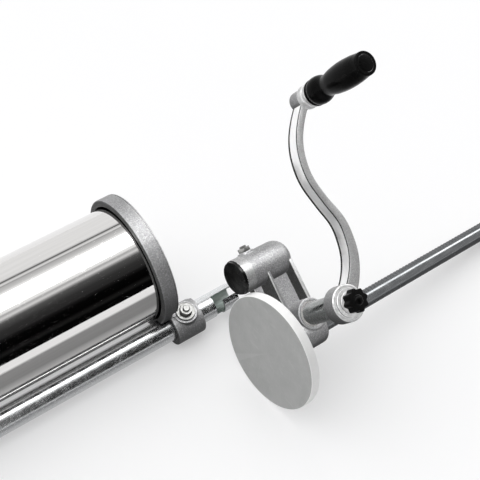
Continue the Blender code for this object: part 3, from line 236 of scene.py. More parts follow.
# The near-black strip along the back of the polished edge
ARM_STRIP = 0.0030
CRANK_ALONG = 0.0500
CRANK_REACH = 0.1590
ARM_CURVE_SHARES = (
    (0.0, 0.0),
    (0.298, 0.088),
    (0.483, 0.176),
    (0.571, 0.270),
    (0.583, 0.377),
    (0.463, 0.503),
    (0.381, 0.623),
    (0.410, 0.730),
    (0.521, 0.824),
    (0.722, 0.912),
    (1.0, 1.0),
)
GRIP_BOSS_RADIUS = 0.0086
KNOB_RADIUS = 0.0098
KNOB_LOBES = 8
KNOB_LOBE_SHARE = 0.09
KNOB_COLLAR_RADIUS = 0.0058
KNOB_COLLAR_HEIGHT = 0.0018
KNOB_HEIGHT = 0.0075
KNOB_CAP_RADIUS = 0.0042
KNOB_CAP_HEIGHT = 0.0022
KNOB_STUD_RADIUS = 0.003
GRIP_RING_RADIUS = 0.0100
GRIP_RING_THICKNESS = 0.0114
GRIP_RING_GROOVE = 0.0016
GRIP_LENGTH = 0.0685
GRIP_BULB_RADIUS = 0.0115
GRIP_NECK_RADIUS = 0.0088
GRIP_SWELL_RADIUS = 0.0114
GRIP_END_RADIUS = 0.0097
GRIP_BORE_RADIUS = 0.0043
SPINDLE_RADIUS = 0.004
SPINDLE_HEAD_RADIUS = 0.006
SPINDLE_HEAD_THICKNESS = 0.002
GRIP_PLUG_THICKNESS = 0.0018
GRIP_PLUG_RADIUS = 0.0068

# Camera, floor and light
CAMERA_FROM_BARREL = (-0.2967, -0.5746, 0.7249)
CAMERA_AZIMUTH = math.radians(-35.93)
CAMERA_ELEVATION = math.radians(47.37)
CAMERA_LENS = 85
CAMERA_SENSOR = 36
FLOOR_SIZE = 8
FLOOR_FRONT = -0.55
FLOOR_GLOW = 0.36
FLOOR_ALBEDO = (0.60, 0.60, 0.605)
# Mirror finishes see the floor at full level, and at a painted shadow's level in a band in front of the frame; then
# where that band starts and where it ends
FLOOR_IN_MIRRORS = (1.0, 0.30)
FLOOR_PAINTED_SHADOW_FROM = (-0.17, -0.13)
FLOOR_PAINTED_SHADOW_TO = (-0.03, 0.03)
BACKGROUND_LEVEL = 0.94
KEY_DIRECTION = (-0.05, 0.42, 0.90)
KEY_SHARPNESS = 2.0
KEY_LEVEL = 1.9
FILL_LEVEL = 0.2
# What mirror finishes see, by the angle from straight up towards the photographer: an angle and a level each
ROOM_LEVELS = (
    (-44, 0.92), (-41, 0.64), (-39.5, 0.12), (-37.5, 0.20), (-35.5, 0.82), (-32.5, 0.88), (-31, 0.34),
    (-29.5, 0.52), (-21, 0.75), (-19, 1.0), (-12.8, 1.0), (-12, 0.93), (-11.2, 1.0), (16.5, 1.0), (18.3, 0.55),
    (20, 0.49), (23.5, 0.80), (25, 0.73), (27, 0.38), (28.4, 0.30), (30, 0.12), (33, 0.088), (37, 0.068),
    (43, 0.035), (54, 0.025), (56, 0.012), (62, 0.002), (74, 0.001), (81.4, 0.0125), (87, 0.001), (98, 0.003),
)
# The strip light's middle, its full and its whole reach in the same angle, and its level above white
STRIP_AT = -2
STRIP_FULL = 5
STRIP_REACH = 15
STRIP_POWER = 6.0
# The dark side of the room lies between these shares of the direction along the barrel
DARK_FROM = 0.10
DARK_TO = 0.57
DARK_BLUR = 0.05
SIDE_LEVEL = 0.80
# The bodies that mirror finishes show. The photograph's barrel has no image of the crank head
SEEN_IN_MIRRORS = ("frame", "nozzle", "ring_nut")

# Steps round a turned piece, by its size, and the voxel of the castings
ROUND_LARGE = 160
ROUND_MEDIUM = 80
ROUND_SMALL = 48
CAST_VOXEL = 0.0006
CAST_SMOOTHING = 7
SHARP_ANGLE = math.radians(32)
# Long mirror pieces keep even the edges of their bevels sharp, so their long faces reflect straight
LONG_SHARP_ANGLE = math.radians(15)

# Sizes worked out from those above
BARREL_BORE = BARREL_RADIUS - BARREL_WALL
COLLAR_SEAT = BARREL_RADIUS + GAP
PUSHER_PATH = BARREL_BORE + GAP
BARREL_REAR = COLLAR_WIDTH - COLLAR_LIP - GAP
BARREL_FRONT = BARREL_REAR - BARREL_LENGTH
FRONT_COLLAR_NEAR = BARREL_FRONT - COLLAR_LIP - GAP + COLLAR_WIDTH
FRONT_FACE = FRONT_COLLAR_NEAR - COLLAR_WIDTH
RAIL_BORE = RAIL_RADIUS - RAIL_WALL
RAIL_FRONT = FRONT_COLLAR_NEAR - BOSS_START - BOSS_LENGTH - RAIL_FRONT_OVERHANG
CLAMP_SEAT = BOSS_RADIUS + CLAMP_PAD_RISE
WASHER_TOP = CLAMP_SEAT + GAP + WASHER_THICKNESS
CAP_FACE = FRONT_FACE - GAP - CAP_FLANGE
CAP_PLUG_RADIUS = BARREL_BORE - GAP
NECK_END = CAP_FACE - CAP_NECK_LENGTH
RACK_CREST = RACK_RADIUS - RACK_FLAT_DEPTH
SOCKET_END = SOCKET_MOUTH + SOCKET_LENGTH
SHAFT_BUSH_RADIUS = SHAFT_RADIUS + GAP + SHAFT_BUSH_WALL
RACK_BUSH_RADIUS = RACK_RADIUS + GAP + RACK_BUSH_WALL
RACK_BORE = RACK_RADIUS + GAP
SHAFT_HOLE_END = HUB_TO - SHAFT_END_GAP
KNOB_FOOT = HUB_TO + HUB_WASHER_THICKNESS + 2 * GAP
KNOB_FACE = KNOB_FOOT + KNOB_COLLAR_HEIGHT
GRIP_RING_FOOT = ARM_TO + GAP
GRIP_FOOT = GRIP_RING_FOOT + GRIP_RING_THICKNESS + GAP
GRIP_TOP = GRIP_FOOT + GRIP_LENGTH


# Axes of the frame, the head and what they carry

def shift(x=0, y=0, z=0):
    return Matrix.Translation((x, y, z))


def axes_of(along, aside, out, place):
    axes = Matrix((along, aside, out)).transposed().to_4x4()
    axes.translation = place
    return axes


def middle(node):
    low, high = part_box(node)
    return 0.5 * (low + high)


def frame_axes():
    """X along the barrel from the rear collar's near face, and the rail at -Y."""
    barrel, rail = middle("barrel"), middle("rail")
    along = Vector((1, 0, 0))
    aside = Vector((0, barrel.y - rail.y, barrel.z - rail.z)).normalized()
    return axes_of(along, aside, along.cross(aside), (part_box("rear_collar")[0].x, barrel.y, barrel.z))


def head_axes():
    """X along the rack from the pusher's face, Y from the rack to the socket, Z along the crank shaft."""
    along = -Vector(JOINTS["rack_travel"]["axis"])
    out = -Vector(JOINTS["crank_turn"]["axis"])
    aside = out.cross(along)
    crank = Vector(JOINTS["crank_turn"]["pos_m"])
    return axes_of(along, aside, out, crank - SHAFT_AT * along - SHAFT_OFFSET * aside)


UPRIGHT = Matrix.Identity(4)
Z_ALONG_X = Matrix.Rotation(math.radians(90), 4, "Y")
Z_ALONG_Y = Matrix.Rotation(math.radians(-90), 4, "X")
FRAME = frame_axes()
HEAD = head_axes()
RAIL_OFFSET = math.hypot(middle("barrel").y - middle("rail").y, middle("barrel").z - middle("rail").z)
BARREL_LINE = FRAME @ Z_ALONG_X
RAIL_LINE = FRAME @ shift(y=-RAIL_OFFSET) @ Z_ALONG_X
RACK_LINE = HEAD @ Z_ALONG_X
CRANK = HEAD @ shift(SHAFT_AT, SHAFT_OFFSET)
GRIP = CRANK @ shift(CRANK_ALONG, CRANK_REACH)
LOCK = HEAD @ shift(LOCK_AT, SOCKET_OFFSET) @ Z_ALONG_Y


def clamp_axes(near, direction):
    """Z along a clamp's stud, from the rail's axis outwards."""
    return FRAME @ shift(near + direction * CLAMP_AT, -RAIL_OFFSET) @ Matrix.Rotation(-CLAMP_TILT, 4, "X")


# Modelling by hand

def alone(piece):
    """Leaves one object selected and active, so that an operator acts on nothing else."""
    bpy.ops.object.select_all(action="DESELECT")
    piece.select_set(True)
    bpy.context.view_layer.objects.active = piece


def begin(name, add, **settings):
    """Adds one primitive with its size and place, and names it."""
    bpy.ops.object.select_all(action="DESELECT")
    add(**settings)
    piece = bpy.context.active_object
    piece.name = piece.data.name = name
    alone(piece)
    bpy.ops.object.transform_apply(location=True, rotation=True, scale=True)
    return piece


@contextmanager
def editing(piece, kind="FACE"):
    alone(piece)
    bpy.ops.object.mode_set(mode="EDIT")
    bpy.ops.mesh.select_mode(type=kind)
    yield
    bpy.ops.object.mode_set(mode="OBJECT")


def pick_faces(piece, test):
    """In edit mode, selects the faces whose middle and normal pass a test."""
    mesh = bmesh.from_edit_mesh(piece.data)
    for face in mesh.faces:
        face.select_set(bool(test(face.calc_center_median(), face.normal)))
    mesh.select_flush_mode()
    bmesh.update_edit_mesh(piece.data)


def pick_edges(piece, test):
    """In edit mode, selects the edges whose two ends pass a test."""
    mesh = bmesh.from_edit_mesh(piece.data)
    for face in mesh.faces:
        face.select_set(False)
    for edge in mesh.edges:
        edge.select_set(bool(test(edge.verts[0].co, edge.verts[1].co)))
    mesh.select_flush_mode()
    bmesh.update_edit_mesh(piece.data)


def use(piece, kind, **settings):
    """Adds a modifier and applies it."""
    alone(piece)
    modifier = piece.modifiers.new(kind.lower(), kind)
    for name, value in settings.items():
        setattr(modifier, name, value)
    bpy.ops.object.modifier_apply(modifier=modifier.name)
    return piece


def soften(piece, width, segments=3, angle=math.radians(40)):
    """Rounds a piece's sharp edges."""
    return use(piece, "BEVEL", width=width, segments=segments, limit_method="ANGLE", angle_limit=angle,
               harden_normals=False, use_clamp_overlap=True)


def moved(piece, axes):
    """Puts a piece's mesh in other axes, and leaves its object at the origin."""
    piece.data.transform(axes)
    piece.data.update()
    return piece


def twin(piece, name, axes=UPRIGHT, turn_out=False):
    """A copy with a mesh of its own. A mirrored one has its faces turned out again."""
    copy = piece.copy()
    copy.data = piece.data.copy()
    copy.name = copy.data.name = name
    bpy.context.scene.collection.objects.link(copy)
    moved(copy, axes)
    if turn_out:
        face_outwards(copy)
    return copy


def face_outwards(piece):
    with editing(piece, "VERT"):
        bpy.ops.mesh.select_all(action="SELECT")
        bpy.ops.mesh.normals_make_consistent(inside=False)


def combine(piece, operation, others, solver="EXACT"):
    for other in others:
        use(piece, "BOOLEAN", operation=operation, object=other, solver=solver)
        bpy.data.objects.remove(other, do_unlink=True)
    return piece


def carve(piece, *tools, solver="EXACT"):
    return combine(piece, "DIFFERENCE", tools, solver)


def weld(piece, *others, solver="EXACT"):
    return combine(piece, "UNION", others, solver)


def turned(name, profile, steps=ROUND_MEDIUM):
    """A turned piece about Z: one point is drawn out along the (radius, height) profile, and spun.

    A profile that starts on the axis ends on it too. Any other one closes on itself as a ring.
    """
    piece = begin(name, bpy.ops.mesh.primitive_plane_add, size=0.001)
    ring = profile[0][0] > 0
    with editing(piece, "VERT"):
        bpy.ops.mesh.select_all(action="SELECT")
        bpy.ops.mesh.merge(type="CENTER")
        bpy.ops.transform.translate(value=(profile[0][0], 0, profile[0][1]))
        for before, after in zip(profile, profile[1:]):
            step = (after[0] - before[0], 0, after[1] - before[1])
            bpy.ops.mesh.extrude_vertices_move(TRANSFORM_OT_translate={"value": step})
        if ring:
            mesh = bmesh.from_edit_mesh(piece.data)
            for vertex in mesh.verts:
                vertex.select_set(len(vertex.link_edges) == 1)
            mesh.select_flush_mode()
            bpy.ops.mesh.edge_face_add()
        bpy.ops.mesh.select_all(action="SELECT")
        bpy.ops.mesh.spin(steps=steps, angle=math.tau, center=(0, 0, 0), axis=(0, 0, 1))
        bpy.ops.mesh.select_all(action="SELECT")
        bpy.ops.mesh.remove_doubles(threshold=0.000002)
        bpy.ops.mesh.normals_make_consistent(inside=False)
    return piece


def sleeve_profile(outer, bore, low, high):
    return [(outer, high), (outer, low), (bore, low), (bore, high)]


def bar_profile(radius, low, high):
    return [(0, high), (radius, high), (radius, low), (0, low)]


def arc(centre_radius, centre_height, radius, start, stop, count):
    """Profile points on a rounded edge, from one angle to another, in degrees."""
    angles = (math.radians(start + (stop - start) * i / count) for i in range(count + 1))
    return [(centre_radius + radius * math.cos(a), centre_height + radius * math.sin(a)) for a in angles]


def smooth_curve(knots, steps):
    """Points on a smooth curve through the knots."""
    knots = [Vector(knot) for knot in knots]
    knots = [2 * knots[0] - knots[1], *knots, 2 * knots[-1] - knots[-2]]
    points = []
    for i in range(1, len(knots) - 2):
        before, start, stop, after = knots[i - 1:i + 3]
        for k in range(steps):
            u = k / steps
            points.append(0.5 * (2 * start + (stop - before) * u
                                 + (2 * before - 5 * start + 4 * stop - after) * u ** 2
                                 + (3 * start - before - 3 * stop + after) * u ** 3))
    return [*points, knots[-2]]


def thread_profile(radius, low, high, chamfer=0.0006):
    """A threaded bar's outline down its outside: V grooves at the thread's pitch between two chamfered ends."""
    turns = int((high - low - 2 * chamfer) / THREAD_PITCH)
    top = high - chamfer
    points = [(0, high), (radius - chamfer, high), (radius, top)]
    for i in range(turns):
        points += [(radius - THREAD_DEPTH, top - (i + 0.5) * THREAD_PITCH), (radius, top - (i + 1) * THREAD_PITCH)]
    return [*points, (radius, low + chamfer), (radius - chamfer, low), (0, low)]


def prism(name, outline, low, high):
    """A flat outline in XY, drawn out along Z from low to high."""
    piece = begin(name, bpy.ops.mesh.primitive_circle_add, vertices=len(outline), radius=0.01, fill_type="NGON")
    for vertex, (x, y) in zip(piece.data.vertices, outline):
        vertex.co = (x, y, low)
    with editing(piece):
        bpy.ops.mesh.select_all(action="SELECT")
        bpy.ops.mesh.extrude_region_move(TRANSFORM_OT_translate={"value": (0, 0, high - low)})
        bpy.ops.mesh.select_all(action="SELECT")
        bpy.ops.mesh.normals_make_consistent(inside=False)
    return piece


def ring_points(radius, count, phase=0.0):
    return [
        (radius * math.cos(phase + math.tau * i / count), radius * math.sin(phase + math.tau * i / count))
        for i in range(count)
    ]


def lobed_points(radius, depth, lobes, count):
    """A round outline whose radius swells and falls with each lobe."""
    angles = (math.tau * i / count for i in range(count))
    return [
        ((radius + depth * math.cos(lobes * a)) * math.cos(a), (radius + depth * math.cos(lobes * a)) * math.sin(a))
        for a in angles
    ]


def box(name, low, high):
    low, high = Vector(low), Vector(high)
    return begin(name, bpy.ops.mesh.primitive_cube_add, size=1, location=0.5 * (low + high), scale=high - low)


def cast(name, solids, voxel=CAST_VOXEL, smoothing=CAST_SMOOTHING):
    """Melts overlapping solids into one casting: its corners come out rounded and filleted."""
    body = solids[0]
    for solid in solids:
        solid.select_set(True)
    bpy.context.view_layer.objects.active = body
    bpy.ops.object.select_all(action="DESELECT")
    for solid in solids:
        solid.select_set(True)
    bpy.ops.object.join()
    body.name = body.data.name = name
    use(body, "REMESH", mode="VOXEL", voxel_size=voxel)
    return use(body, "SMOOTH", factor=0.5, iterations=smoothing)


def settle(piece, axes, body, material, slot, *nodes, sharp=SHARP_ANGLE):
    """Moves a finished piece into its place, shades it, and says what it rides on and stands for."""
    moved(piece, axes)
    alone(piece)
    bpy.ops.object.shade_smooth_by_angle(angle=sharp)
    if material is not None:
        piece.data.materials.clear()
        piece.data.materials.append(material)
    piece.visible_glossy = body in SEEN_IN_MIRRORS
    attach(piece, body)
    if nodes:
        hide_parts(*nodes)
    return piece


def paint(piece, finishes, choose):
    """Gives a piece several finishes, picked for each face by its middle and normal."""
    for finish in finishes:
        piece.data.materials.append(finish)
    for face in piece.data.polygons:
        face.material_index = choose(face.center, face.normal)


# Shader groups that the finishes share

def node(tree, kind, settings=None, inputs=None):
    """Adds a shader node. An input is a value, or another node's output to link."""
    made = tree.nodes.new("ShaderNode" + kind)
    for name, value in (settings or {}).items():
        setattr(made, name, value)
    for name, value in (inputs or {}).items():
        if isinstance(value, bpy.types.NodeSocket):
            tree.links.new(value, made.inputs[name])
        else:
            made.inputs[name].default_value = value
    return made


def maths(tree, operation, *values):
    return node(tree, "Math", {"operation": operation}, dict(enumerate(values))).outputs[0]


def spread(tree, value, low, high, to_low=0.0, to_high=1.0):
    """Maps a value's range to another, without going past its ends."""
    inputs = {"Value": value, "From Min": low, "From Max": high, "To Min": to_low, "To Max": to_high}
    return node(tree, "MapRange", None, inputs).outputs[0]


def new_group(name, inputs, outputs):
    """A shader node group with named sockets. Returns its tree, its input sockets and a function that sets an output."""
    tree = bpy.data.node_groups.new(name, "ShaderNodeTree")
    for label, value in inputs.items():
        kind = "NodeSocketVector" if isinstance(value, tuple) else "NodeSocketFloat"
        socket = tree.interface.new_socket(label, in_out="INPUT", socket_type=kind)
        socket.default_value = value
    for label in outputs:
        tree.interface.new_socket(label, in_out="OUTPUT", socket_type="NodeSocketFloat")
    taken = tree.nodes.new("NodeGroupInput").outputs
    given = tree.nodes.new("NodeGroupOutput").inputs
    return tree, taken, lambda label, value: tree.links.new(value, given[label])


def noise(tree, vector, scale, detail=2.0, roughness=0.5):
    inputs = {"Vector": vector, "Scale": scale, "Detail": detail, "Roughness": roughness}
    return node(tree, "TexNoise", {"noise_dimensions": "3D"}, inputs).outputs["Fac"]


def make_cast_grain():
    """Sand-cast skin: a fine granular height, scattered pits, bright specks and soft blotches."""
    tree, taken, give = new_group("cast_grain", {"Scale": 1.0, "Pits": 0.3}, ("Height", "Specks", "Blotches"))
    place = node(tree, "TexCoord").outputs["Object"]
    sized = node(tree, "VectorMath", {"operation": "SCALE"}, {"Vector": place, "Scale": taken["Scale"]}).outputs[0]
    fine = noise(tree, sized, 1250, 3, 0.6)
    coarse = noise(tree, sized, 620, 2)
    cells = node(tree, "TexVoronoi", {"feature": "F1"}, {"Vector": sized, "Scale": 420}).outputs["Distance"]
    pits = spread(tree, cells, 0.05, 0.24, 1, 0)
    grains = maths(tree, "ADD", maths(tree, "MULTIPLY", fine, 0.6), maths(tree, "MULTIPLY", coarse, 0.6))
    give("Height", maths(tree, "SUBTRACT", grains, maths(tree, "MULTIPLY", pits, taken["Pits"])))
    give("Specks", spread(tree, noise(tree, sized, 1000, 1), 0.54, 0.68))
    give("Blotches", spread(tree, noise(tree, sized, 70, 3), 0.35, 0.68))
    return tree


def make_tool_marks():
    """Fine marks left by grinding or turning, drawn out along the directions that have a low scale."""
    tree, taken, give = new_group("tool_marks", {"Scale": (900.0, 60.0, 60.0)}, ("Height", "Streaks"))
    place = node(tree, "TexCoord").outputs["Object"]
    drawn = node(tree, "VectorMath", {"operation": "MULTIPLY"}, {0: place, 1: taken["Scale"]}).outputs[0]
    fine = noise(tree, drawn, 1.0, 4, 0.65)
    give("Height", fine)
    give("Streaks", spread(tree, noise(tree, drawn, 0.45, 2), 0.38, 0.66))
    return tree


def make_handling():
    """What use leaves on a surface: soft smears and a few short scratches."""
    tree, taken, give = new_group("handling", {"Scale": 1.0}, ("Smears", "Scratches"))
    place = node(tree, "TexCoord").outputs["Object"]
    sized = node(tree, "VectorMath", {"operation": "SCALE"}, {"Vector": place, "Scale": taken["Scale"]}).outputs[0]
    give("Smears", spread(tree, noise(tree, sized, 38, 4, 0.55), 0.36, 0.70))
    lines = None
    for turn, squeeze in ((0.5, (2400, 90, 300)), (-1.1, (200, 2200, 110)), (2.3, (150, 260, 2300))):
        mapped = node(tree, "Mapping", None, {"Vector": sized, "Rotation": (turn, 0.6 * turn, turn),
                                              "Scale": squeeze}).outputs[0]
        line = spread(tree, noise(tree, mapped, 1.0, 0), 0.735, 0.775)
        lines = line if lines is None else maths(tree, "MAXIMUM", lines, line)
    give("Scratches", lines)
    return tree


def make_edge_wear():
    """Where edges stand out and get rubbed bright, and where the surface bends inwards, broken up by a little noise."""
    tree, taken, give = new_group("edge_wear", {"Reach": 0.5}, ("Edges", "Hollows"))
    bent = node(tree, "NewGeometry").outputs["Pointiness"]
    place = node(tree, "TexCoord").outputs["Object"]
    broken = maths(tree, "MULTIPLY", maths(tree, "SUBTRACT", noise(tree, place, 260, 3), 0.5), 0.04)
    shaken = maths(tree, "ADD", bent, broken)
    width = maths(tree, "MULTIPLY", taken["Reach"], 0.1)
    give("Edges", spread(tree, shaken, 0.51, maths(tree, "ADD", 0.51, width)))
    give("Hollows", spread(tree, shaken, 0.49, maths(tree, "SUBTRACT", 0.49, width)))
    return tree


CAST_GRAIN = make_cast_grain()
TOOL_MARKS = make_tool_marks()
HANDLING = make_handling()
EDGE_WEAR = make_edge_wear()

# Painted shade on the castings' undersides: how far down a casting's skin has to face for the shade to start and to be
# full, and how pale it is there
UNDERSIDE_SHADE_STARTS = 0.9
UNDERSIDE_SHADE_FULL = -0.45
UNDERSIDE_SHADE_SHARE = 0.22


def grouped(tree, group, **values):
    made = node(tree, "Group", {"node_tree": group})
    for label, value in values.items():
        made.inputs[label].default_value = value
    return made.outputs


def tinted(tree, mask, first, second):
    """One colour where the mask is 0 and another where it is 1. A colour is three values, or a node's output."""
    inputs = {"Factor": mask}
    for socket, colour in ((6, first), (7, second)):
        inputs[socket] = colour if isinstance(colour, bpy.types.NodeSocket) else (*colour, 1)
    return node(tree, "Mix", {"data_type": "RGBA"}, inputs).outputs[2]


def new_finish(name, metallic=0.0, **constants):
    """A material whose shader has its plain values set. Returns it, its tree and its shader's inputs."""
    material = bpy.data.materials.new(name)
    material.use_nodes = True
    tree = material.node_tree
    sockets = tree.nodes["Principled BSDF"].inputs
    sockets["Metallic"].default_value = metallic
    for label, value in constants.items():
        sockets[label.replace("_", " ")].default_value = value
    return material, tree, sockets


def bumped(tree, sockets, height, depth, strength=1.0):
    """Feeds a height to the shader's normal. Depth is the real height that 1 stands for."""
    bump = node(tree, "Bump", None, {"Height": height, "Distance": depth, "Strength": strength})
    tree.links.new(bump.outputs[0], sockets["Normal"])


def feed(tree, sockets, **values):
    for label, value in values.items():
        tree.links.new(value, sockets[label.replace("_", " ")])


# Finishes

def cast_finish(name, pale, dark, roughness, depth, scale=1.0, pits=0.3):
    """Tumbled cast metal: grainy, blotchy, paler on its specks and rubbed edges, and darker on its undersides as
    painted shade.
    """
    material, tree, sockets = new_finish(name, metallic=1.0)
    tree.nodes["Principled BSDF"].distribution = "GGX"
    grain = grouped(tree, CAST_GRAIN, Scale=scale, Pits=pits)
    wear = grouped(tree, EDGE_WEAR, Reach=0.5)
    base = tinted(tree, grain["Blotches"], dark, pale)
    base = tinted(tree, spread(tree, grain["Height"], 0.35, 0.75), [0.75 * v for v in dark], base)
    base = tinted(tree, maths(tree, "MULTIPLY", grain["Specks"], 0.7), base, [min(1, 1.3 * v) for v in pale])
    base = tinted(tree, maths(tree, "MULTIPLY", wear["Edges"], 0.6), base, [min(1, 1.3 * v) for v in pale])
    # Painted shade: the base colour darkens as the skin faces further down
    facing = node(tree, "SeparateXYZ", None, {0: node(tree, "TexCoord").outputs["Normal"]}).outputs["Z"]
    base = tinted(tree, spread(tree, facing, UNDERSIDE_SHADE_STARTS, UNDERSIDE_SHADE_FULL), base, [UNDERSIDE_SHADE_SHARE * v for v in dark])
    rough = spread(tree, grain["Height"], 0.3, 0.9, roughness + 0.08, roughness - 0.08)
    feed(tree, sockets, Base_Color=base, Roughness=rough)
    bumped(tree, sockets, grain["Height"], depth)
    return material


def bright_finish(name, pale, dark, roughness, marks, depth, scale=1.0):
    """Worked metal: streaks and fine marks from its tool, smears and scratches from handling."""
    material, tree, sockets = new_finish(name, metallic=1.0)
    tool = grouped(tree, TOOL_MARKS, Scale=marks)
    hands = grouped(tree, HANDLING, Scale=scale)
    wear = grouped(tree, EDGE_WEAR, Reach=0.6)
    base = tinted(tree, tool["Streaks"], dark, pale)
    # Darker where the surface bends inwards
    base = tinted(tree, maths(tree, "MULTIPLY", wear["Hollows"], 0.5), base, [0.5 * v for v in dark])
    smeared = spread(tree, hands["Smears"], 0, 1, 0.85 * roughness, 1.35 * roughness)
    rough = maths(tree, "ADD", smeared, maths(tree, "MULTIPLY", hands["Scratches"], 0.12))
    feed(tree, sockets, Base_Color=base, Roughness=rough)
    height = maths(tree, "SUBTRACT", tool["Height"], maths(tree, "MULTIPLY", hands["Scratches"], 0.6))
    bumped(tree, sockets, height, depth)
    return material


def plastic_finish(name, pale, dark, roughness, depth, scale=1.0, **constants):
    """Moulded plastic: a faint mottle, a fine moulded skin, smears and scratches that show paler."""
    material, tree, sockets = new_finish(name, **constants)
    grain = grouped(tree, CAST_GRAIN, Scale=scale, Pits=0.1)
    hands = grouped(tree, HANDLING, Scale=0.8)
    wear = grouped(tree, EDGE_WEAR, Reach=0.5)
    base = tinted(tree, grain["Blotches"], dark, pale)
    base = tinted(tree, maths(tree, "MULTIPLY", wear["Edges"], 0.4), base, [1.2 * v for v in pale])
    base = tinted(tree, maths(tree, "MULTIPLY", hands["Scratches"], 0.25), base, [min(1, 1.25 * v + 0.004) for v in pale])
    rough = spread(tree, hands["Smears"], 0, 1, 0.8 * roughness, 1.2 * roughness)
    feed(tree, sockets, Base_Color=base, Roughness=rough)
    bumped(tree, sockets, grain["Height"], depth)
    return material


STAINLESS = bright_finish("polished_stainless_steel", (0.79, 0.78, 0.77), (0.76, 0.75, 0.74), 0.015,
                          (30, 900, 900), 0.0000015)
CHROME = bright_finish("chrome_plate", (0.82, 0.83, 0.84), (0.76, 0.77, 0.78), 0.20, (1500, 1500, 1500), 0.000003,
                       scale=3.0)
RAIL_INSIDE = bright_finish("bare_tube_inside", (0.40, 0.44, 0.42), (0.24, 0.28, 0.26), 0.42, (90, 600, 600), 0.00004)
RACK_STEEL = bright_finish("bright_rack_steel", (0.20, 0.205, 0.21), (0.15, 0.155, 0.16), 0.15, (90, 900, 900), 0.00001)
ZINC = bright_finish("zinc_plate", (0.24, 0.24, 0.235), (0.16, 0.16, 0.155), 0.36, (1100, 1100, 1100), 0.00002)
SHAFT_STEEL = bright_finish("ground_shaft_steel", (0.36, 0.37, 0.365), (0.26, 0.27, 0.265), 0.20, (1200, 1200, 1200),
                            0.00001)
MACHINED = bright_finish("machined_aluminium", (0.70, 0.70, 0.70), (0.56, 0.56, 0.56), 0.42, (900, 900, 900), 0.00004)
POLISHED = bright_finish("polished_aluminium_edge", (0.98, 0.98, 0.98), (0.93, 0.93, 0.93), 0.36, (140, 140, 700),
                         0.000006)
CASTING = cast_finish("cast_aluminium_skin", (0.47, 0.47, 0.475), (0.35, 0.35, 0.355), 0.50, 0.00042)
# A darker copy of the casting, painted on faces that turn away from the light: painted shade
SHADED_CASTING = cast_finish("casting_painted_shade_face", (0.20, 0.20, 0.20), (0.13, 0.13, 0.13), 0.60, 0.00040)
TURNED_CASTING = cast_finish("smoother_casting_end", (0.56, 0.56, 0.56), (0.48, 0.48, 0.48), 0.44, 0.00018)
ARM_FACE = cast_finish("ground_arm_face", (0.42, 0.42, 0.42), (0.36, 0.36, 0.36), 0.50, 0.00012, scale=1.3)
ARM_BORDER = cast_finish("near_black_arm_edge", (0.07, 0.07, 0.07), (0.04, 0.04, 0.04), 0.55, 0.00010)
# Near-black, painted into bores, holes and mouths as the shade inside them
BORE = bright_finish("bore_painted_shade", (0.05, 0.05, 0.05), (0.006, 0.006, 0.006), 0.30, (900, 220, 220), 0.00008)
BRONZE = bright_finish("sintered_bush", (0.42, 0.41, 0.40), (0.32, 0.31, 0.30), 0.42, (900, 900, 900), 0.00004)
# One grey moulding painted as two: its face darker as painted shade, its rim near white as painted light
DISC_FACE = plastic_finish("grey_moulding_face_painted_shade", (0.44, 0.445, 0.44), (0.40, 0.405, 0.40), 0.6, 0.00005)
DISC_RIM = plastic_finish("grey_moulding_rim_painted_light", (0.94, 0.94, 0.935), (0.88, 0.88, 0.875), 0.5, 0.00004)
BLACK_GLOSS = plastic_finish("glossy_black_moulding", (0.002, 0.002, 0.002), (0.001, 0.001, 0.001), 0.26, 0.00002,
                             scale=0.7, Specular_IOR_Level=0.06)
BLACK_SATIN = plastic_finish("satin_black_moulding", (0.003, 0.003, 0.003), (0.001, 0.001, 0.001), 0.42, 0.00005,
                             Specular_IOR_Level=0.06)
RUBBER = plastic_finish("food_grade_rubber", (0.72, 0.72, 0.68), (0.62, 0.62, 0.58), 0.6, 0.00006)


# Pieces of the frame

def make_barrel():
    barrel = turned("barrel_tube", sleeve_profile(BARREL_RADIUS, BARREL_BORE, BARREL_FRONT, BARREL_REAR), ROUND_LARGE)
    soften(barrel, 0.0002, 2)
    settle(barrel, BARREL_LINE, "frame", STAINLESS, "polished_stainless", "barrel", sharp=LONG_SHARP_ANGLE)


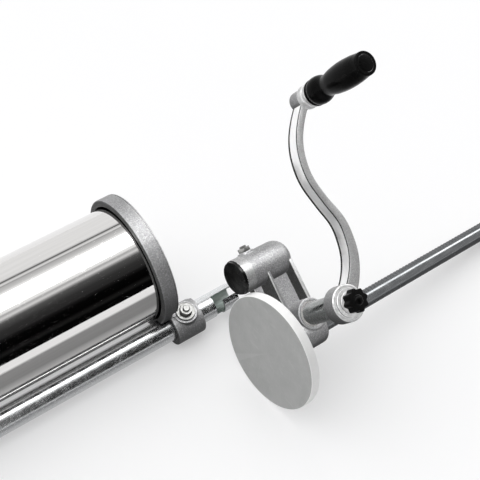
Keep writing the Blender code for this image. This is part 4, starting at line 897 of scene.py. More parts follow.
def make_collar_blank():
    """One collar in the frame's axes, its near face at X 0 and its boss pointing to +X."""
    mouth = COLLAR_SEAT + COLLAR_MOUTH_GAP
    lip_at = COLLAR_WIDTH - COLLAR_LIP
    boss_end = BOSS_START + BOSS_LENGTH
    rail_at = shift(y=-RAIL_OFFSET) @ Z_ALONG_X
    wall = [
        (COLLAR_RADIUS, COLLAR_WIDTH),
        *arc(COLLAR_RADIUS - 0.0010, 0.0010, 0.0010, 0, -90, 4),
        (COLLAR_SEAT - 0.002, 0),
        (COLLAR_SEAT - 0.002, COLLAR_WIDTH),
    ]
    ring = moved(turned("collar_ring", wall, ROUND_LARGE), Z_ALONG_X)
    boss_profile = [
        (0, boss_end),
        *arc(BOSS_RADIUS - BOSS_ROUND, boss_end - BOSS_ROUND, BOSS_ROUND, 90, 0, 4),
        (BOSS_RADIUS, BOSS_START),
        (0, BOSS_START),
    ]
    boss = moved(turned("collar_boss", boss_profile), rail_at)
    pad_axes = shift(CLAMP_AT, -RAIL_OFFSET) @ Matrix.Rotation(-CLAMP_TILT, 4, "X")
    pad = moved(turned("collar_pad", bar_profile(CLAMP_PAD_RADIUS, 0.5 * RAIL_RADIUS, CLAMP_SEAT)), pad_axes)
    collar = cast("rear_collar_casting", [ring, boss, pad], smoothing=4)

    inside = [
        (0, boss_end + OVERRUN),
        (PUSHER_PATH, boss_end + OVERRUN),
        (PUSHER_PATH, lip_at),
        (COLLAR_SEAT, lip_at),
        (COLLAR_SEAT, COLLAR_MOUTH_DEPTH),
        (mouth, 0),
        (mouth, -OVERRUN),
        (0, -OVERRUN),
    ]
    barrel_room = moved(turned("barrel_room", inside, ROUND_LARGE), Z_ALONG_X)
    rail_bore = RAIL_RADIUS + GAP
    rail_room = moved(turned("rail_room", [
        (0, boss_end + OVERRUN),
        (rail_bore, boss_end + OVERRUN),
        (rail_bore, BOSS_START + BOSS_MOUTH_DEPTH),
        (rail_bore + BOSS_MOUTH_GAP, BOSS_START),
        (rail_bore + BOSS_MOUTH_GAP, -OVERRUN),
        (0, -OVERRUN),
    ]), rail_at)
    facing = moved(turned("pad_facing", bar_profile(CLAMP_PAD_RADIUS + 0.003, CLAMP_SEAT, CLAMP_SEAT + 0.01)),
                   pad_axes)
    stud_room = moved(turned("stud_room", bar_profile(STUD_RADIUS + GAP, 0.6 * RAIL_RADIUS, CLAMP_SEAT + OVERRUN),
                             ROUND_SMALL), pad_axes)
    line_at = COLLAR_WIDTH - EDGE_LINE_INSET
    edge_line = moved(turned("edge_line", sleeve_profile(COLLAR_RADIUS + OVERRUN, COLLAR_RADIUS - EDGE_LINE_DEPTH,
                                                         line_at - EDGE_LINE_WIDTH, line_at), ROUND_LARGE), Z_ALONG_X)
    reach = RAIL_OFFSET + BOSS_RADIUS
    near_boss = box("near_boss", (0, -reach, -BOSS_RADIUS), (COLLAR_WIDTH, 2 * BOSS_RADIUS - reach, BOSS_RADIUS))
    carve(edge_line, near_boss)
    carve(collar, barrel_room, rail_room, facing, stud_room, edge_line)
    def finish_at(at, out):
        # Painted shade: the mouth's gap near-black, and the near face, looking back along -X, the shaded casting
        if at.x < COLLAR_MOUTH_DEPTH and math.hypot(at.y, at.z) < mouth + 0.0001:
            return 2
        return int(out.x < -0.8)

    paint(collar, [CASTING, SHADED_CASTING, BORE], finish_at)
    return collar


def stand_on_floor(piece):
    """Faces off what reaches below the table, as the feet of the real castings are worn flat."""
    low, high = CAD_BOX
    under = box("under_table", (low.x - 0.05, low.y - 0.05, -0.02), (high.x + 0.05, high.y + 0.05, 0))
    return carve(piece, under)


def make_collars():
    rear = make_collar_blank()
    mirror = shift(FRONT_COLLAR_NEAR) @ Matrix.Scale(-1, 4, (1, 0, 0))
    front = twin(rear, "front_collar_casting", mirror, turn_out=True)
    for collar, node_name in ((rear, "rear_collar"), (front, "front_collar")):
        stand_on_floor(moved(collar, FRAME))
        settle(collar, UPRIGHT, "frame", None, "cast_aluminium", node_name)


def nut_blank(name, height, chamfer=0.0006):
    """A hexagon nut standing on Z 0: its corners are turned off at both ends and its bore is threaded."""
    corner = 0.5 * NUT_ACROSS_FLATS / math.cos(math.radians(30))
    nut = prism(name, ring_points(corner, 6), 0, height)
    flat = 0.5 * NUT_ACROSS_FLATS
    barrel_like = [(0, height), (flat, height), (corner + 0.0001, height - chamfer), (corner + 0.0001, chamfer),
                   (flat, 0), (0, 0)]
    use_round = turned(name + "_chamfer", barrel_like, ROUND_SMALL)
    combine(nut, "INTERSECT", [use_round])
    bore = turned(name + "_bore", bar_profile(STUD_RADIUS + 0.5 * GAP, -OVERRUN, height + OVERRUN), ROUND_SMALL)
    carve(nut, bore)
    return soften(nut, 0.00015, 2)


def washer_blank(name, radius, bore, thickness):
    washer = turned(name, sleeve_profile(radius, bore, 0, thickness), ROUND_SMALL)
    return soften(washer, 0.0004, 3)


def make_clamps():
    washer = washer_blank("clamp_washer", WASHER_RADIUS, STUD_RADIUS + GAP, WASHER_THICKNESS)
    nut = nut_blank("clamp_nut", NUT_HEIGHT)
    nut_foot = WASHER_TOP + GAP
    stud_top = nut_foot + NUT_HEIGHT + STUD_PROUD
    stud = turned("clamp_stud", thread_profile(STUD_RADIUS, RAIL_RADIUS + GAP, stud_top), ROUND_SMALL)
    for side, near, direction in (("rear", 0, 1), ("front", FRONT_COLLAR_NEAR, -1)):
        axes = clamp_axes(near, direction)
        for blank, height, kind in ((washer, CLAMP_SEAT + GAP, "washer"), (nut, nut_foot, "nut"), (stud, 0, "stud")):
            piece = twin(blank, f"{side}_{blank.name}")
            settle(piece, axes @ shift(z=height), "frame", ZINC, "zinc_plated_steel", f"{side}_clamp_{kind}")
    for blank in (washer, nut, stud):
        bpy.data.objects.remove(blank, do_unlink=True)


def wedge(name, start, stop, low, high):
    """A cutter for the rail's wall, in the rail's own axes: a slice of a ring between two angles."""
    count = max(3, round((stop - start) / math.radians(5)))
    angles = [start + (stop - start) * i / count for i in range(count + 1)]
    outer, inner = RAIL_RADIUS + OVERRUN, 0.5 * RAIL_RADIUS
    outline = [(outer * math.cos(a), outer * math.sin(a)) for a in angles]
    outline += [(inner * math.cos(a), inner * math.sin(a)) for a in reversed(angles)]
    cutter = prism(name, outline, low, high)
    # The outline's X becomes the frame's Z, and its Z runs along the rail
    moved(cutter, Matrix(((0, 0, 1, 0), (0, 1, 0, 0), (1, 0, 0, 0), (0, 0, 0, 1))))
    face_outwards(cutter)
    return cutter


def round_corner(cutter, along, angle):
    """Rounds the cutter's edge that points out from the rail's axis at one place and angle."""
    def there(point):
        turn = math.atan2(point.y, point.z) - angle
        return abs(point.x - along) < 0.00001 and abs(math.remainder(turn, math.tau)) < 0.001

    with editing(cutter, "EDGE"):
        pick_edges(cutter, lambda a, b: there(a) and there(b))
        bpy.ops.mesh.bevel(offset=NOTCH_CORNER, segments=5, affect="EDGES")


def make_rail():
    rail = turned("rail_tube", sleeve_profile(RAIL_RADIUS, RAIL_BORE, RAIL_FRONT, RAIL_BEYOND), 96)
    moved(rail, Z_ALONG_X)
    cross_end = NOTCH_START + NOTCH_CROSS_WIDTH
    notch = wedge("notch_cross", NOTCH_CROSS_FROM, NOTCH_ENTRY_TO, NOTCH_START, cross_end)
    entry = wedge("notch_entry", NOTCH_ENTRY_FROM, NOTCH_ENTRY_TO + 0.001, 0.5 * (NOTCH_START + cross_end),
                  RAIL_BEYOND + OVERRUN)
    weld(notch, entry)
    round_corner(notch, cross_end, NOTCH_ENTRY_FROM)
    round_corner(notch, NOTCH_START, NOTCH_ENTRY_TO)
    round_corner(notch, NOTCH_START, NOTCH_CROSS_FROM)
    carve(rail, notch)
    soften(rail, 0.0002, 2)
    skin = 0.5 * (RAIL_RADIUS + RAIL_BORE)
    paint(rail, [CHROME, RAIL_INSIDE], lambda at, out: int(math.hypot(at.y, at.z) < skin))
    settle(rail, FRAME @ shift(y=-RAIL_OFFSET), "frame", None, "chromed_steel", "rail",
           sharp=LONG_SHARP_ANGLE)
    plug_bore = RAIL_BORE - GAP
    foot = RAIL_FRONT - GAP
    profile = [
        (0, RAIL_FRONT + PLUG_DEPTH),
        (plug_bore - 0.001, RAIL_FRONT + PLUG_DEPTH),
        (plug_bore, RAIL_FRONT + PLUG_DEPTH - 0.001),
        (plug_bore, foot),
        (RAIL_RADIUS, foot),
        *arc(RAIL_RADIUS - 0.002, foot - PLUG_HEAD + 0.002, 0.002, 0, -90, 5),
        (0, foot - PLUG_HEAD),
    ]
    plug = turned("rail_end_plug_cap", profile, ROUND_SMALL)
    settle(plug, RAIL_LINE, "frame", BLACK_SATIN, "black_plastic", "rail_end_plug")


def make_front_cap():
    plug_end = FRONT_FACE + CAP_PLUG_DEPTH
    groove_at = plug_end - GASKET_INSET
    groove_floor = CAP_PLUG_RADIUS - 2 * GASKET_SECTION
    groove_half = GASKET_SECTION + GAP
    inner = groove_floor - CAP_WALL
    bore = CAP_NECK_RADIUS - CAP_NECK_WALL
    neck_root = 0.002
    profile = [
        (CAP_PLUG_RADIUS, plug_end),
        (CAP_PLUG_RADIUS, groove_at + groove_half),
        (groove_floor, groove_at + groove_half),
        (groove_floor, groove_at - groove_half),
        (CAP_PLUG_RADIUS, groove_at - groove_half),
        (CAP_PLUG_RADIUS, FRONT_FACE - GAP),
        (COLLAR_RADIUS - CAP_FLANGE_INSET, FRONT_FACE - GAP),
        (COLLAR_RADIUS - CAP_FLANGE_INSET, CAP_FACE),
        *reversed(arc(CAP_NECK_RADIUS + neck_root, CAP_FACE - neck_root, neck_root, 180, 90, 4)),
        (CAP_NECK_RADIUS, NECK_END),
        (bore, NECK_END),
        (bore, CAP_FACE + CAP_WALL),
        (inner, plug_end - CAP_WALL),
        (inner, plug_end),
    ]
    cap = turned("front_cap_casting", profile, ROUND_LARGE)
    room = turned("boss_room", bar_profile(math.hypot(WASHER_RADIUS, WASHER_TOP) + GAP, CAP_FACE - OVERRUN,
                                           FRONT_FACE - 0.5 * GAP))
    moved(room, Z_ALONG_X.inverted() @ shift(y=-RAIL_OFFSET) @ Z_ALONG_X)
    carve(cap, room)
    circle = 0.5 * (COLLAR_SEAT + COLLAR_RADIUS)
    seat = CAP_FACE - GAP
    screw = make_cap_screw(seat)
    for index in range(CAP_SCREW_COUNT):
        angle = math.tau * index / CAP_SCREW_COUNT
        at = FRAME @ shift(y=circle * math.cos(angle), z=circle * math.sin(angle)) @ Z_ALONG_X
        name = f"cap_screw_{index + 1}"
        settle(twin(screw, name + "_socket_head"), at, "frame", ZINC, "zinc_plated_steel", name)
        hole = turned("hole", bar_profile(SCREW_SHANK_RADIUS + GAP, CAP_FACE - OVERRUN, FRONT_FACE), ROUND_SMALL)
        carve(cap, moved(hole, BARREL_LINE.inverted() @ at))
    bpy.data.objects.remove(screw, do_unlink=True)
    soften(cap, 0.0005, 3)
    settle(cap, BARREL_LINE, "frame", CASTING, "cast_aluminium", "front_cap")


def make_cap_screw(seat):
    """A socket head screw along Z, its head below and its hexagon socket open downwards."""
    head = seat - SCREW_HEAD_HEIGHT
    profile = [
        (0, CAP_FACE + SCREW_SHANK_LENGTH),
        (SCREW_SHANK_RADIUS, CAP_FACE + SCREW_SHANK_LENGTH),
        (SCREW_SHANK_RADIUS, seat),
        (SCREW_HEAD_RADIUS, seat),
        (SCREW_HEAD_RADIUS, head),
        (0, head),
    ]
    screw = turned("cap_screw", profile, ROUND_SMALL)
    drive = prism("drive", ring_points(0.5 * SCREW_SOCKET_ACROSS_FLATS / math.cos(math.radians(30)), 6),
                  head - OVERRUN, head + SCREW_SOCKET_DEPTH)
    carve(screw, drive)
    return soften(screw, 0.00015, 2)


def make_nozzle():
    flange_radius = CAP_NECK_RADIUS - NOZZLE_FLANGE_INSET
    back = NECK_END - GAP
    front = back - NOZZLE_FLANGE
    tip = front - NOZZLE_LENGTH
    profile = [
        (flange_radius, back),
        (flange_radius, front),
        (NOZZLE_BASE_RADIUS, front),
        (NOZZLE_TIP_RADIUS, tip),
        (NOZZLE_TIP_RADIUS - NOZZLE_WALL, tip),
        (NOZZLE_BASE_RADIUS - NOZZLE_WALL, back),
    ]
    nozzle = turned("filling_nozzle", profile)
    soften(nozzle, 0.0004, 3)
    settle(nozzle, BARREL_LINE, "nozzle", STAINLESS, "polished_stainless", "nozzle")
    bore = CAP_NECK_RADIUS + GAP
    face_back = front - GAP
    face_front = face_back - RING_NUT_FACE
    skirt = NECK_END + 0.5 * CAP_NECK_LENGTH
    outline = lobed_points(bore + RING_NUT_WALL, RING_NUT_LOBE, RING_NUT_LOBES, 16 * RING_NUT_LOBES)
    nut = prism("nozzle_ring_nut", outline, face_front, skirt)
    room = turned("ring_nut_room", bar_profile(bore, face_back, skirt + OVERRUN))
    throat = turned("ring_nut_throat", bar_profile(NOZZLE_BASE_RADIUS + GAP, face_front - OVERRUN, skirt))
    carve(nut, room, throat)
    soften(nut, 0.0008, 3)
    settle(nut, BARREL_LINE, "ring_nut", STAINLESS, "polished_stainless", "ring_nut")


# Pieces of the head

def plate(name, at_housing, at_socket, low, high, upper, edge=0.0005):
    """A plate between the housing and the socket, in the head's axes, drawn out along Z."""
    outline = [(at_housing[0], SHAFT_OFFSET), (at_housing[1], SHAFT_OFFSET), (at_socket[1], upper),
               (at_socket[0], upper)]
    return soften(prism(name, outline, low, high), edge, 2)


def make_head_casting():
    socket_axes = shift(y=SOCKET_OFFSET) @ Z_ALONG_X
    socket_profile = [
        (0, SOCKET_END),
        *arc(SOCKET_RADIUS - SOCKET_END_ROUND, SOCKET_END - SOCKET_END_ROUND, SOCKET_END_ROUND, 90, 0, 8),
        (SOCKET_RADIUS, SOCKET_MOUTH),
        (0, SOCKET_MOUTH),
    ]
    socket = moved(turned("socket", socket_profile), socket_axes)
    housing_profile = [
        (0, HOUSING_TO),
        *arc(HOUSING_RADIUS - HOUSING_ROUND, HOUSING_TO - HOUSING_ROUND, HOUSING_ROUND, 90, 0, 6),
        (HOUSING_RADIUS, HOUSING_FROM),
        (0, HOUSING_FROM),
    ]
    housing = moved(turned("housing", housing_profile), Z_ALONG_X)
    boss = moved(turned("shaft_boss", bar_profile(SHAFT_BOSS_RADIUS, -SHAFT_BOSS_HALF, SHAFT_BOSS_HALF)),
                 shift(SHAFT_AT, SHAFT_OFFSET))
    lug_top = SOCKET_OFFSET - 0.7 * SOCKET_RADIUS
    lug = box("lug", (NEAR_RIB_AT_SOCKET[0] - LUG_REACH, lug_top - LUG_WIDTH, 0.001 - RIB_HALF),
              (NEAR_RIB_AT_SOCKET[1], lug_top, 0.001 - RIB_HALF + LUG_DEPTH))
    pad = moved(turned("lock_pad", bar_profile(LOCK_PAD_RADIUS, 0, SOCKET_RADIUS + LOCK_PAD_RISE)),
                shift(LOCK_AT, SOCKET_OFFSET) @ Z_ALONG_Y)
    casting = cast("head_casting_body", [socket, housing, boss, lug, pad], smoothing=3)
    high = SOCKET_OFFSET - 0.35 * SOCKET_RADIUS
    web = plate("web", (NEAR_RIB_AT_HOUSING[0], FAR_RIB_AT_HOUSING[1]), (NEAR_RIB_AT_SOCKET[0], FAR_RIB_AT_SOCKET[1]),
                WEB_FRONT - WEB_THICKNESS, WEB_FRONT, high)
    near = plate("near_rib", NEAR_RIB_AT_HOUSING, NEAR_RIB_AT_SOCKET, -RIB_HALF, RIB_HALF, high, RIB_EDGE)
    far = plate("far_rib", FAR_RIB_AT_HOUSING, FAR_RIB_AT_SOCKET, -RIB_HALF, RIB_HALF, high, RIB_EDGE)
    weld(casting, web, near, far)

    mouth = SOCKET_RADIUS - SOCKET_RIM
    rail_bore = RAIL_RADIUS + GAP
    rail_room = moved(turned("rail_room", [
        (0, SOCKET_MOUTH + SOCKET_BORE_DEPTH),
        (rail_bore - 0.0015, SOCKET_MOUTH + SOCKET_BORE_DEPTH),
        (rail_bore - 0.0015, SOCKET_MOUTH + 0.8 * SOCKET_BORE_DEPTH),
        (rail_bore, SOCKET_MOUTH + 0.8 * SOCKET_BORE_DEPTH),
        (rail_bore, SOCKET_MOUTH + 0.0056),
        (rail_bore + 0.0003, SOCKET_MOUTH + 0.0053),
        (rail_bore + 0.0015, SOCKET_MOUTH + 0.0050),
        (rail_bore + 0.0018, SOCKET_MOUTH + 0.0010),
        (mouth, SOCKET_MOUTH),
        (mouth, SOCKET_MOUTH - OVERRUN),
        (0, SOCKET_MOUTH - OVERRUN),
    ]), socket_axes)
    seat_end = HOUSING_FROM + RACK_BUSH_LENGTH + GAP
    bush_room = RACK_BUSH_RADIUS + GAP
    rack_room = moved(turned("rack_room", [
        (0, HOUSING_TO + OVERRUN), (RACK_BORE, HOUSING_TO + OVERRUN), (RACK_BORE, seat_end),
        (bush_room, seat_end), (bush_room, HOUSING_FROM - OVERRUN), (0, HOUSING_FROM - OVERRUN)]), Z_ALONG_X)
    seat_from = PINION_HALF + GAP
    end = SHAFT_BOSS_HALF + OVERRUN
    bore = SHAFT_BUSH_RADIUS + GAP
    journal = SHAFT_RADIUS + GAP
    shaft_room = moved(turned("shaft_room", [
        (0, end), (bore, end), (bore, seat_from), (journal, seat_from),
        (journal, -seat_from), (bore, -seat_from), (bore, -end), (0, -end)]), shift(SHAFT_AT, SHAFT_OFFSET))
    lock_room = moved(turned("lock_room", bar_profile(STUD_RADIUS + GAP, 0, SOCKET_RADIUS + OVERRUN), ROUND_SMALL),
                      shift(LOCK_AT, SOCKET_OFFSET) @ Z_ALONG_Y)
    line = sleeve_profile(BOSS_LINE_RADIUS, BOSS_LINE_RADIUS - 0.0005, SHAFT_BOSS_HALF - 0.0006, end)
    boss_line = moved(turned("boss_line", line), shift(SHAFT_AT, SHAFT_OFFSET))
    carve(casting, rail_room, rack_room, shaft_room, lock_room, boss_line)

    def finish_at(at, out):
        from_socket = math.hypot(at.y - SOCKET_OFFSET, at.z)
        in_bore = from_socket < mouth + 0.0001 and at.x < SOCKET_MOUTH + SOCKET_BORE_DEPTH + 0.0005
        at_mouth = from_socket < SOCKET_RADIUS - 0.0002 and at.x < SOCKET_MOUTH + 0.0004
        # Painted shade: the socket's bore, its mouth and the rack's hole near-black, with the shoulder inside the bore
        # a lighter shaded grey
        if in_bore and out.x < -0.8 and at.x > SOCKET_MOUTH + 0.003 and at.x < SOCKET_MOUTH + 0.008:
            return 3
        if in_bore or at_mouth or math.hypot(at.y, at.z) < RACK_BORE + 0.0002:
            return 1
        if from_socket < 1.05 * SOCKET_RADIUS and at.x < SOCKET_MOUTH + SOCKET_BAND:
            return 2
        # Between the socket and the shaft boss, the edges facing -X and up are painted bright as a highlight line, and
        # the faces towards -X get the painted shade
        between = SHAFT_OFFSET + SHAFT_BOSS_RADIUS < at.y < SOCKET_OFFSET - 0.5 * SOCKET_RADIUS
        if between and out.x < -0.25 and out.z > 0.25:
            return 4
        return 3 if between and out.x < -0.6 else 0

    paint(casting, [CASTING, BORE, TURNED_CASTING, SHADED_CASTING, MACHINED], finish_at)
    settle(casting, HEAD, "head", None, "cast_aluminium", "head_casting")


def make_bushes():
    low = PINION_HALF + 2 * GAP
    high = SHAFT_BOSS_HALF - SHAFT_BUSH_INSET
    bore = SHAFT_RADIUS + GAP
    for name, profile, axes in (
        ("shaft_bush_front", sleeve_profile(SHAFT_BUSH_RADIUS, bore, low, high), CRANK),
        ("shaft_bush_rear", sleeve_profile(SHAFT_BUSH_RADIUS, bore, -high, -low), CRANK),
        ("rack_bush", sleeve_profile(RACK_BUSH_RADIUS, RACK_BORE, HOUSING_FROM, HOUSING_FROM + RACK_BUSH_LENGTH),
         RACK_LINE),
    ):
        bush = soften(turned(name + "_sleeve", profile), 0.0002, 2)
        settle(bush, axes, "head", BRONZE, "sintered_bronze", name)


def make_lock():
    foot = SOCKET_RADIUS + LOCK_PAD_RISE + GAP
    nut = nut_blank("lock_nut_hexagon", LOCK_NUT_HEIGHT)
    settle(nut, LOCK @ shift(z=foot), "head", ZINC, "zinc_plated_steel", "lock_nut")
    top = foot + LOCK_NUT_HEIGHT + LOCK_SCREW_PROUD
    screw = turned("lock_screw_thread", thread_profile(STUD_RADIUS, RAIL_BORE, top), ROUND_SMALL)
    slot = box("slot", (-0.005, -0.0005, top - 0.0011), (0.005, 0.0005, top + 0.001))
    carve(screw, slot)
    settle(screw, LOCK, "lock_screw", ZINC, "zinc_plated_steel", "lock_screw")


# Crank, knob and grip

def pinion_points():
    """Outline of the pinion, with a tooth gap towards -Y, where it meets the rack."""
    points = []
    for tooth in range(PINION_TEETH):
        at = math.radians(-90) + math.tau * (tooth + 0.5) / PINION_TEETH
        for radius, share in ((PINION_ROOT, -0.38), (0.5 * (PINION_ROOT + PINION_TIP), -0.27), (PINION_TIP, -0.11),
                              (PINION_TIP, 0.11), (0.5 * (PINION_ROOT + PINION_TIP), 0.27), (PINION_ROOT, 0.38)):
            angle = at + share * math.tau / PINION_TEETH
            points.append((radius * math.cos(angle), radius * math.sin(angle)))
    return points


def make_shaft():
    clip_high = -SHAFT_BOSS_HALF - GAP
    clip_low = clip_high - RETAINER_THICKNESS - 2 * GAP
    tail = -SHAFT_BOSS_HALF - SHAFT_TAIL - GAP
    groove = SHAFT_RADIUS - RETAINER_GROOVE
    neck = PINION_ROOT - 0.0002
    profile = [
        (0, SHAFT_HOLE_END),
        (SHAFT_RADIUS, SHAFT_HOLE_END),
        (SHAFT_RADIUS, ARM_FROM - GAP),
        (SHAFT_SLEEVE_RADIUS, ARM_FROM - GAP),
        (SHAFT_SLEEVE_RADIUS, SHAFT_BOSS_HALF + GAP),
        (SHAFT_RADIUS, SHAFT_BOSS_HALF + GAP),
        (SHAFT_RADIUS, PINION_HALF),
        (neck, PINION_HALF),
        (neck, -PINION_HALF),
        (SHAFT_RADIUS, -PINION_HALF),
        (SHAFT_RADIUS, clip_high),
        (groove, clip_high),
        (groove, clip_low),
        (SHAFT_RADIUS, clip_low),
        (SHAFT_RADIUS, tail),
        (0, tail),
    ]
    shaft = turned("crank_shaft", profile)
    weld(shaft, prism("pinion", pinion_points(), -PINION_HALF - 0.5 * GAP, PINION_HALF + 0.5 * GAP))
    soften(shaft, 0.0003, 2)
    settle(shaft, CRANK, "crank", SHAFT_STEEL, "zinc_plated_steel", "pinion_shaft")

    outer = groove + GAP + RETAINER_WALL
    gap = math.radians(25)
    sweep = math.tau - 2 * gap
    angles = [math.radians(90) + gap + sweep * i / 48 for i in range(49)]
    outline = [(outer * math.cos(a), outer * math.sin(a)) for a in angles]
    outline += [((groove + GAP) * math.cos(a), (groove + GAP) * math.sin(a)) for a in reversed(angles)]
    middle_height = 0.5 * (clip_high + clip_low)
    ring = prism("shaft_retaining_ring", outline, middle_height - 0.5 * RETAINER_THICKNESS,
                 middle_height + 0.5 * RETAINER_THICKNESS)
    soften(ring, 0.00015, 2)
    settle(ring, CRANK, "crank", ZINC, "zinc_plated_steel", "shaft_retainer")


def scored(piece, height):
    """An edge all round the piece at one height, where its finish changes."""
    bpy.ops.object.select_all(action="DESELECT")
    bpy.context.view_layer.objects.active = piece
    piece.select_set(True)
    bpy.ops.object.mode_set(mode="EDIT")
    bpy.ops.mesh.select_all(action="SELECT")
    bpy.ops.mesh.bisect(plane_co=(0, 0, height), plane_no=(0, 0, 1))
    bpy.ops.object.mode_set(mode="OBJECT")


def arm_outline():
    """The arm's outline about its curved middle line, narrowing from the hub to the grip."""
    knots = [(x * CRANK_ALONG, y * CRANK_REACH) for x, y in ARM_CURVE_SHARES]
    line = smooth_curve(knots, 8)
    last = len(line) - 1
    left, right = [], []
    for i, point in enumerate(line):
        along = (line[min(i + 1, last)] - line[max(i - 1, 0)]).normalized()
        across = Vector((-along.y, along.x))
        taper = max(0, 1 - i / (ARM_TAPER_SHARE * last))
        half = 0.5 * (ARM_WIDTH + (ARM_WIDTH_AT_HUB - ARM_WIDTH) * taper)
        left.append(tuple(point + half * across))
        right.append(tuple(point - half * across))
    return right + list(reversed(left))


def make_crank_arm():
    arm = prism("crank_arm_and_hub", arm_outline(), ARM_FROM, ARM_TO)
    soften(arm, ARM_EDGE, 3, math.radians(50))
    scored(arm, ARM_FROM + ARM_STRIP)
    hub_profile = [
        (0, HUB_TO),
        (HUB_STEP_RADIUS - 0.0004, HUB_TO),
        (HUB_STEP_RADIUS, HUB_TO - 0.0004),
        (HUB_STEP_RADIUS, HUB_TO - HUB_STEP_HEIGHT),
        (HUB_STEP_RADIUS + 0.0009, HUB_TO - HUB_STEP_HEIGHT),
        (HUB_STEP_RADIUS + 0.0011, HUB_TO - HUB_STEP_HEIGHT - 0.0005),
        (HUB_STEP_RADIUS + 0.0015, HUB_TO - HUB_STEP_HEIGHT - 0.0005),
        (HUB_STEP_RADIUS + 0.0017, HUB_TO - HUB_STEP_HEIGHT),
        *arc(HUB_RADIUS - HUB_EDGE, HUB_TO - HUB_STEP_HEIGHT - HUB_EDGE, HUB_EDGE, 90, 0, 4),
        *arc(HUB_RADIUS - HUB_EDGE, HUB_FROM + HUB_EDGE, HUB_EDGE, 0, -90, 4),
        (0, HUB_FROM),
    ]
    hub = turned("hub", hub_profile, 96)
    boss = soften(turned("grip_boss", bar_profile(GRIP_BOSS_RADIUS, ARM_FROM, ARM_TO)), 0.0008, 3)
    moved(boss, shift(CRANK_ALONG, CRANK_REACH))
    weld(arm, hub, boss)
    hole = turned("hub_hole", bar_profile(SHAFT_RADIUS + GAP, ARM_FROM - OVERRUN, HUB_TO + OVERRUN))
    spindle_hole = moved(turned("spindle_hole", bar_profile(SPINDLE_RADIUS + GAP, ARM_FROM - OVERRUN,
                                                            ARM_TO + OVERRUN), ROUND_SMALL),
                         shift(CRANK_ALONG, CRANK_REACH))
    carve(arm, hole, spindle_hole)

    def finish_at(at, out):
        if at.xy.length < HUB_RADIUS + 0.0002:
            return 2 if out.z > 0.3 else 3
        if (at.xy - Vector((CRANK_ALONG, CRANK_REACH))).length < GRIP_BOSS_RADIUS + 0.0002:
            return 3
        if abs(out.z) > 0.95:
            return 1
        return 0 if abs(out.z) < 0.2 and at.z > ARM_FROM + ARM_STRIP else 4

    paint(arm, [POLISHED, ARM_FACE, MACHINED, CASTING, ARM_BORDER], finish_at)
    settle(arm, CRANK, "crank", None, "polished_aluminium", "crank_arm")


def make_hub_washer():
    washer = washer_blank("hub_washer_disc", HUB_WASHER_RADIUS, KNOB_STUD_RADIUS + GAP, HUB_WASHER_THICKNESS)
    settle(washer, CRANK @ shift(z=HUB_TO + GAP), "crank", MACHINED, "zinc_plated_steel", "hub_washer")


def make_knob():
    depth = KNOB_RADIUS * KNOB_LOBE_SHARE
    star = prism("star_knob_moulding", lobed_points(KNOB_RADIUS - depth, depth, KNOB_LOBES, 20 * KNOB_LOBES),
                 KNOB_FACE, KNOB_FACE + KNOB_HEIGHT)
    foot = turned("knob_foot", bar_profile(KNOB_COLLAR_RADIUS, KNOB_FOOT, KNOB_FACE + 0.5 * KNOB_HEIGHT), ROUND_SMALL)
    weld(star, foot)
    room = turned("knob_stud_seat", bar_profile(KNOB_STUD_RADIUS + GAP, KNOB_FOOT - OVERRUN,
                                                KNOB_FACE + 0.5 * KNOB_HEIGHT), ROUND_SMALL)
    carve(star, room)
    soften(star, 0.0011, 4)
    settle(star, CRANK, "knob", BLACK_SATIN, "black_plastic", "star_knob")
    stud = turned("knob_stud_thread", thread_profile(KNOB_STUD_RADIUS, SHAFT_HOLE_END - 0.012 + GAP,
                                                     KNOB_FACE + 0.5 * KNOB_HEIGHT - GAP), ROUND_SMALL)
    settle(stud, CRANK, "knob", ZINC, "zinc_plated_steel", "knob_stud")
    top = KNOB_FACE + KNOB_HEIGHT + GAP
    dome = [(KNOB_CAP_RADIUS * math.sin(a), top + KNOB_CAP_HEIGHT * math.cos(a))
            for a in (math.radians(90) * i / 10 for i in range(11))]
    cap = turned("knob_cap_dome", [*dome, (0, top)], ROUND_SMALL)
    settle(cap, CRANK, "knob", BLACK_GLOSS, "black_plastic", "knob_cap")


def grip_profile():
    """Radius along the grip, from its foot to its rounded end, as a smooth curve."""
    flange = 0.028
    shape = (
        (flange + 0.012, 0.90 * GRIP_BULB_RADIUS),
        (flange + 0.030, 0.97 * GRIP_BULB_RADIUS),
        (0.10, GRIP_BULB_RADIUS),
        (0.17, 0.95 * GRIP_BULB_RADIUS),
        (0.26, GRIP_NECK_RADIUS),
        (0.31, 1.01 * GRIP_NECK_RADIUS),
        (0.42, 0.91 * GRIP_SWELL_RADIUS),
        (0.55, 0.985 * GRIP_SWELL_RADIUS),
        (0.66, GRIP_SWELL_RADIUS),
        (0.80, 0.96 * GRIP_SWELL_RADIUS),
        (0.93, 0.87 * GRIP_SWELL_RADIUS),
        (0.99, GRIP_END_RADIUS),
        (1.0, 0.94 * GRIP_END_RADIUS),
    )
    rim = 0.96 * GRIP_BULB_RADIUS
    foot = ((0.90 * GRIP_BULB_RADIUS, flange), (rim, flange - 0.003), (rim, 0.006), (0.96 * rim, 0.0))
    body = smooth_curve([(radius, GRIP_FOOT + share * GRIP_LENGTH) for share, radius in reversed(shape)], 5)
    return [*(tuple(p) for p in body), *((radius, GRIP_FOOT + share * GRIP_LENGTH) for radius, share in foot)]


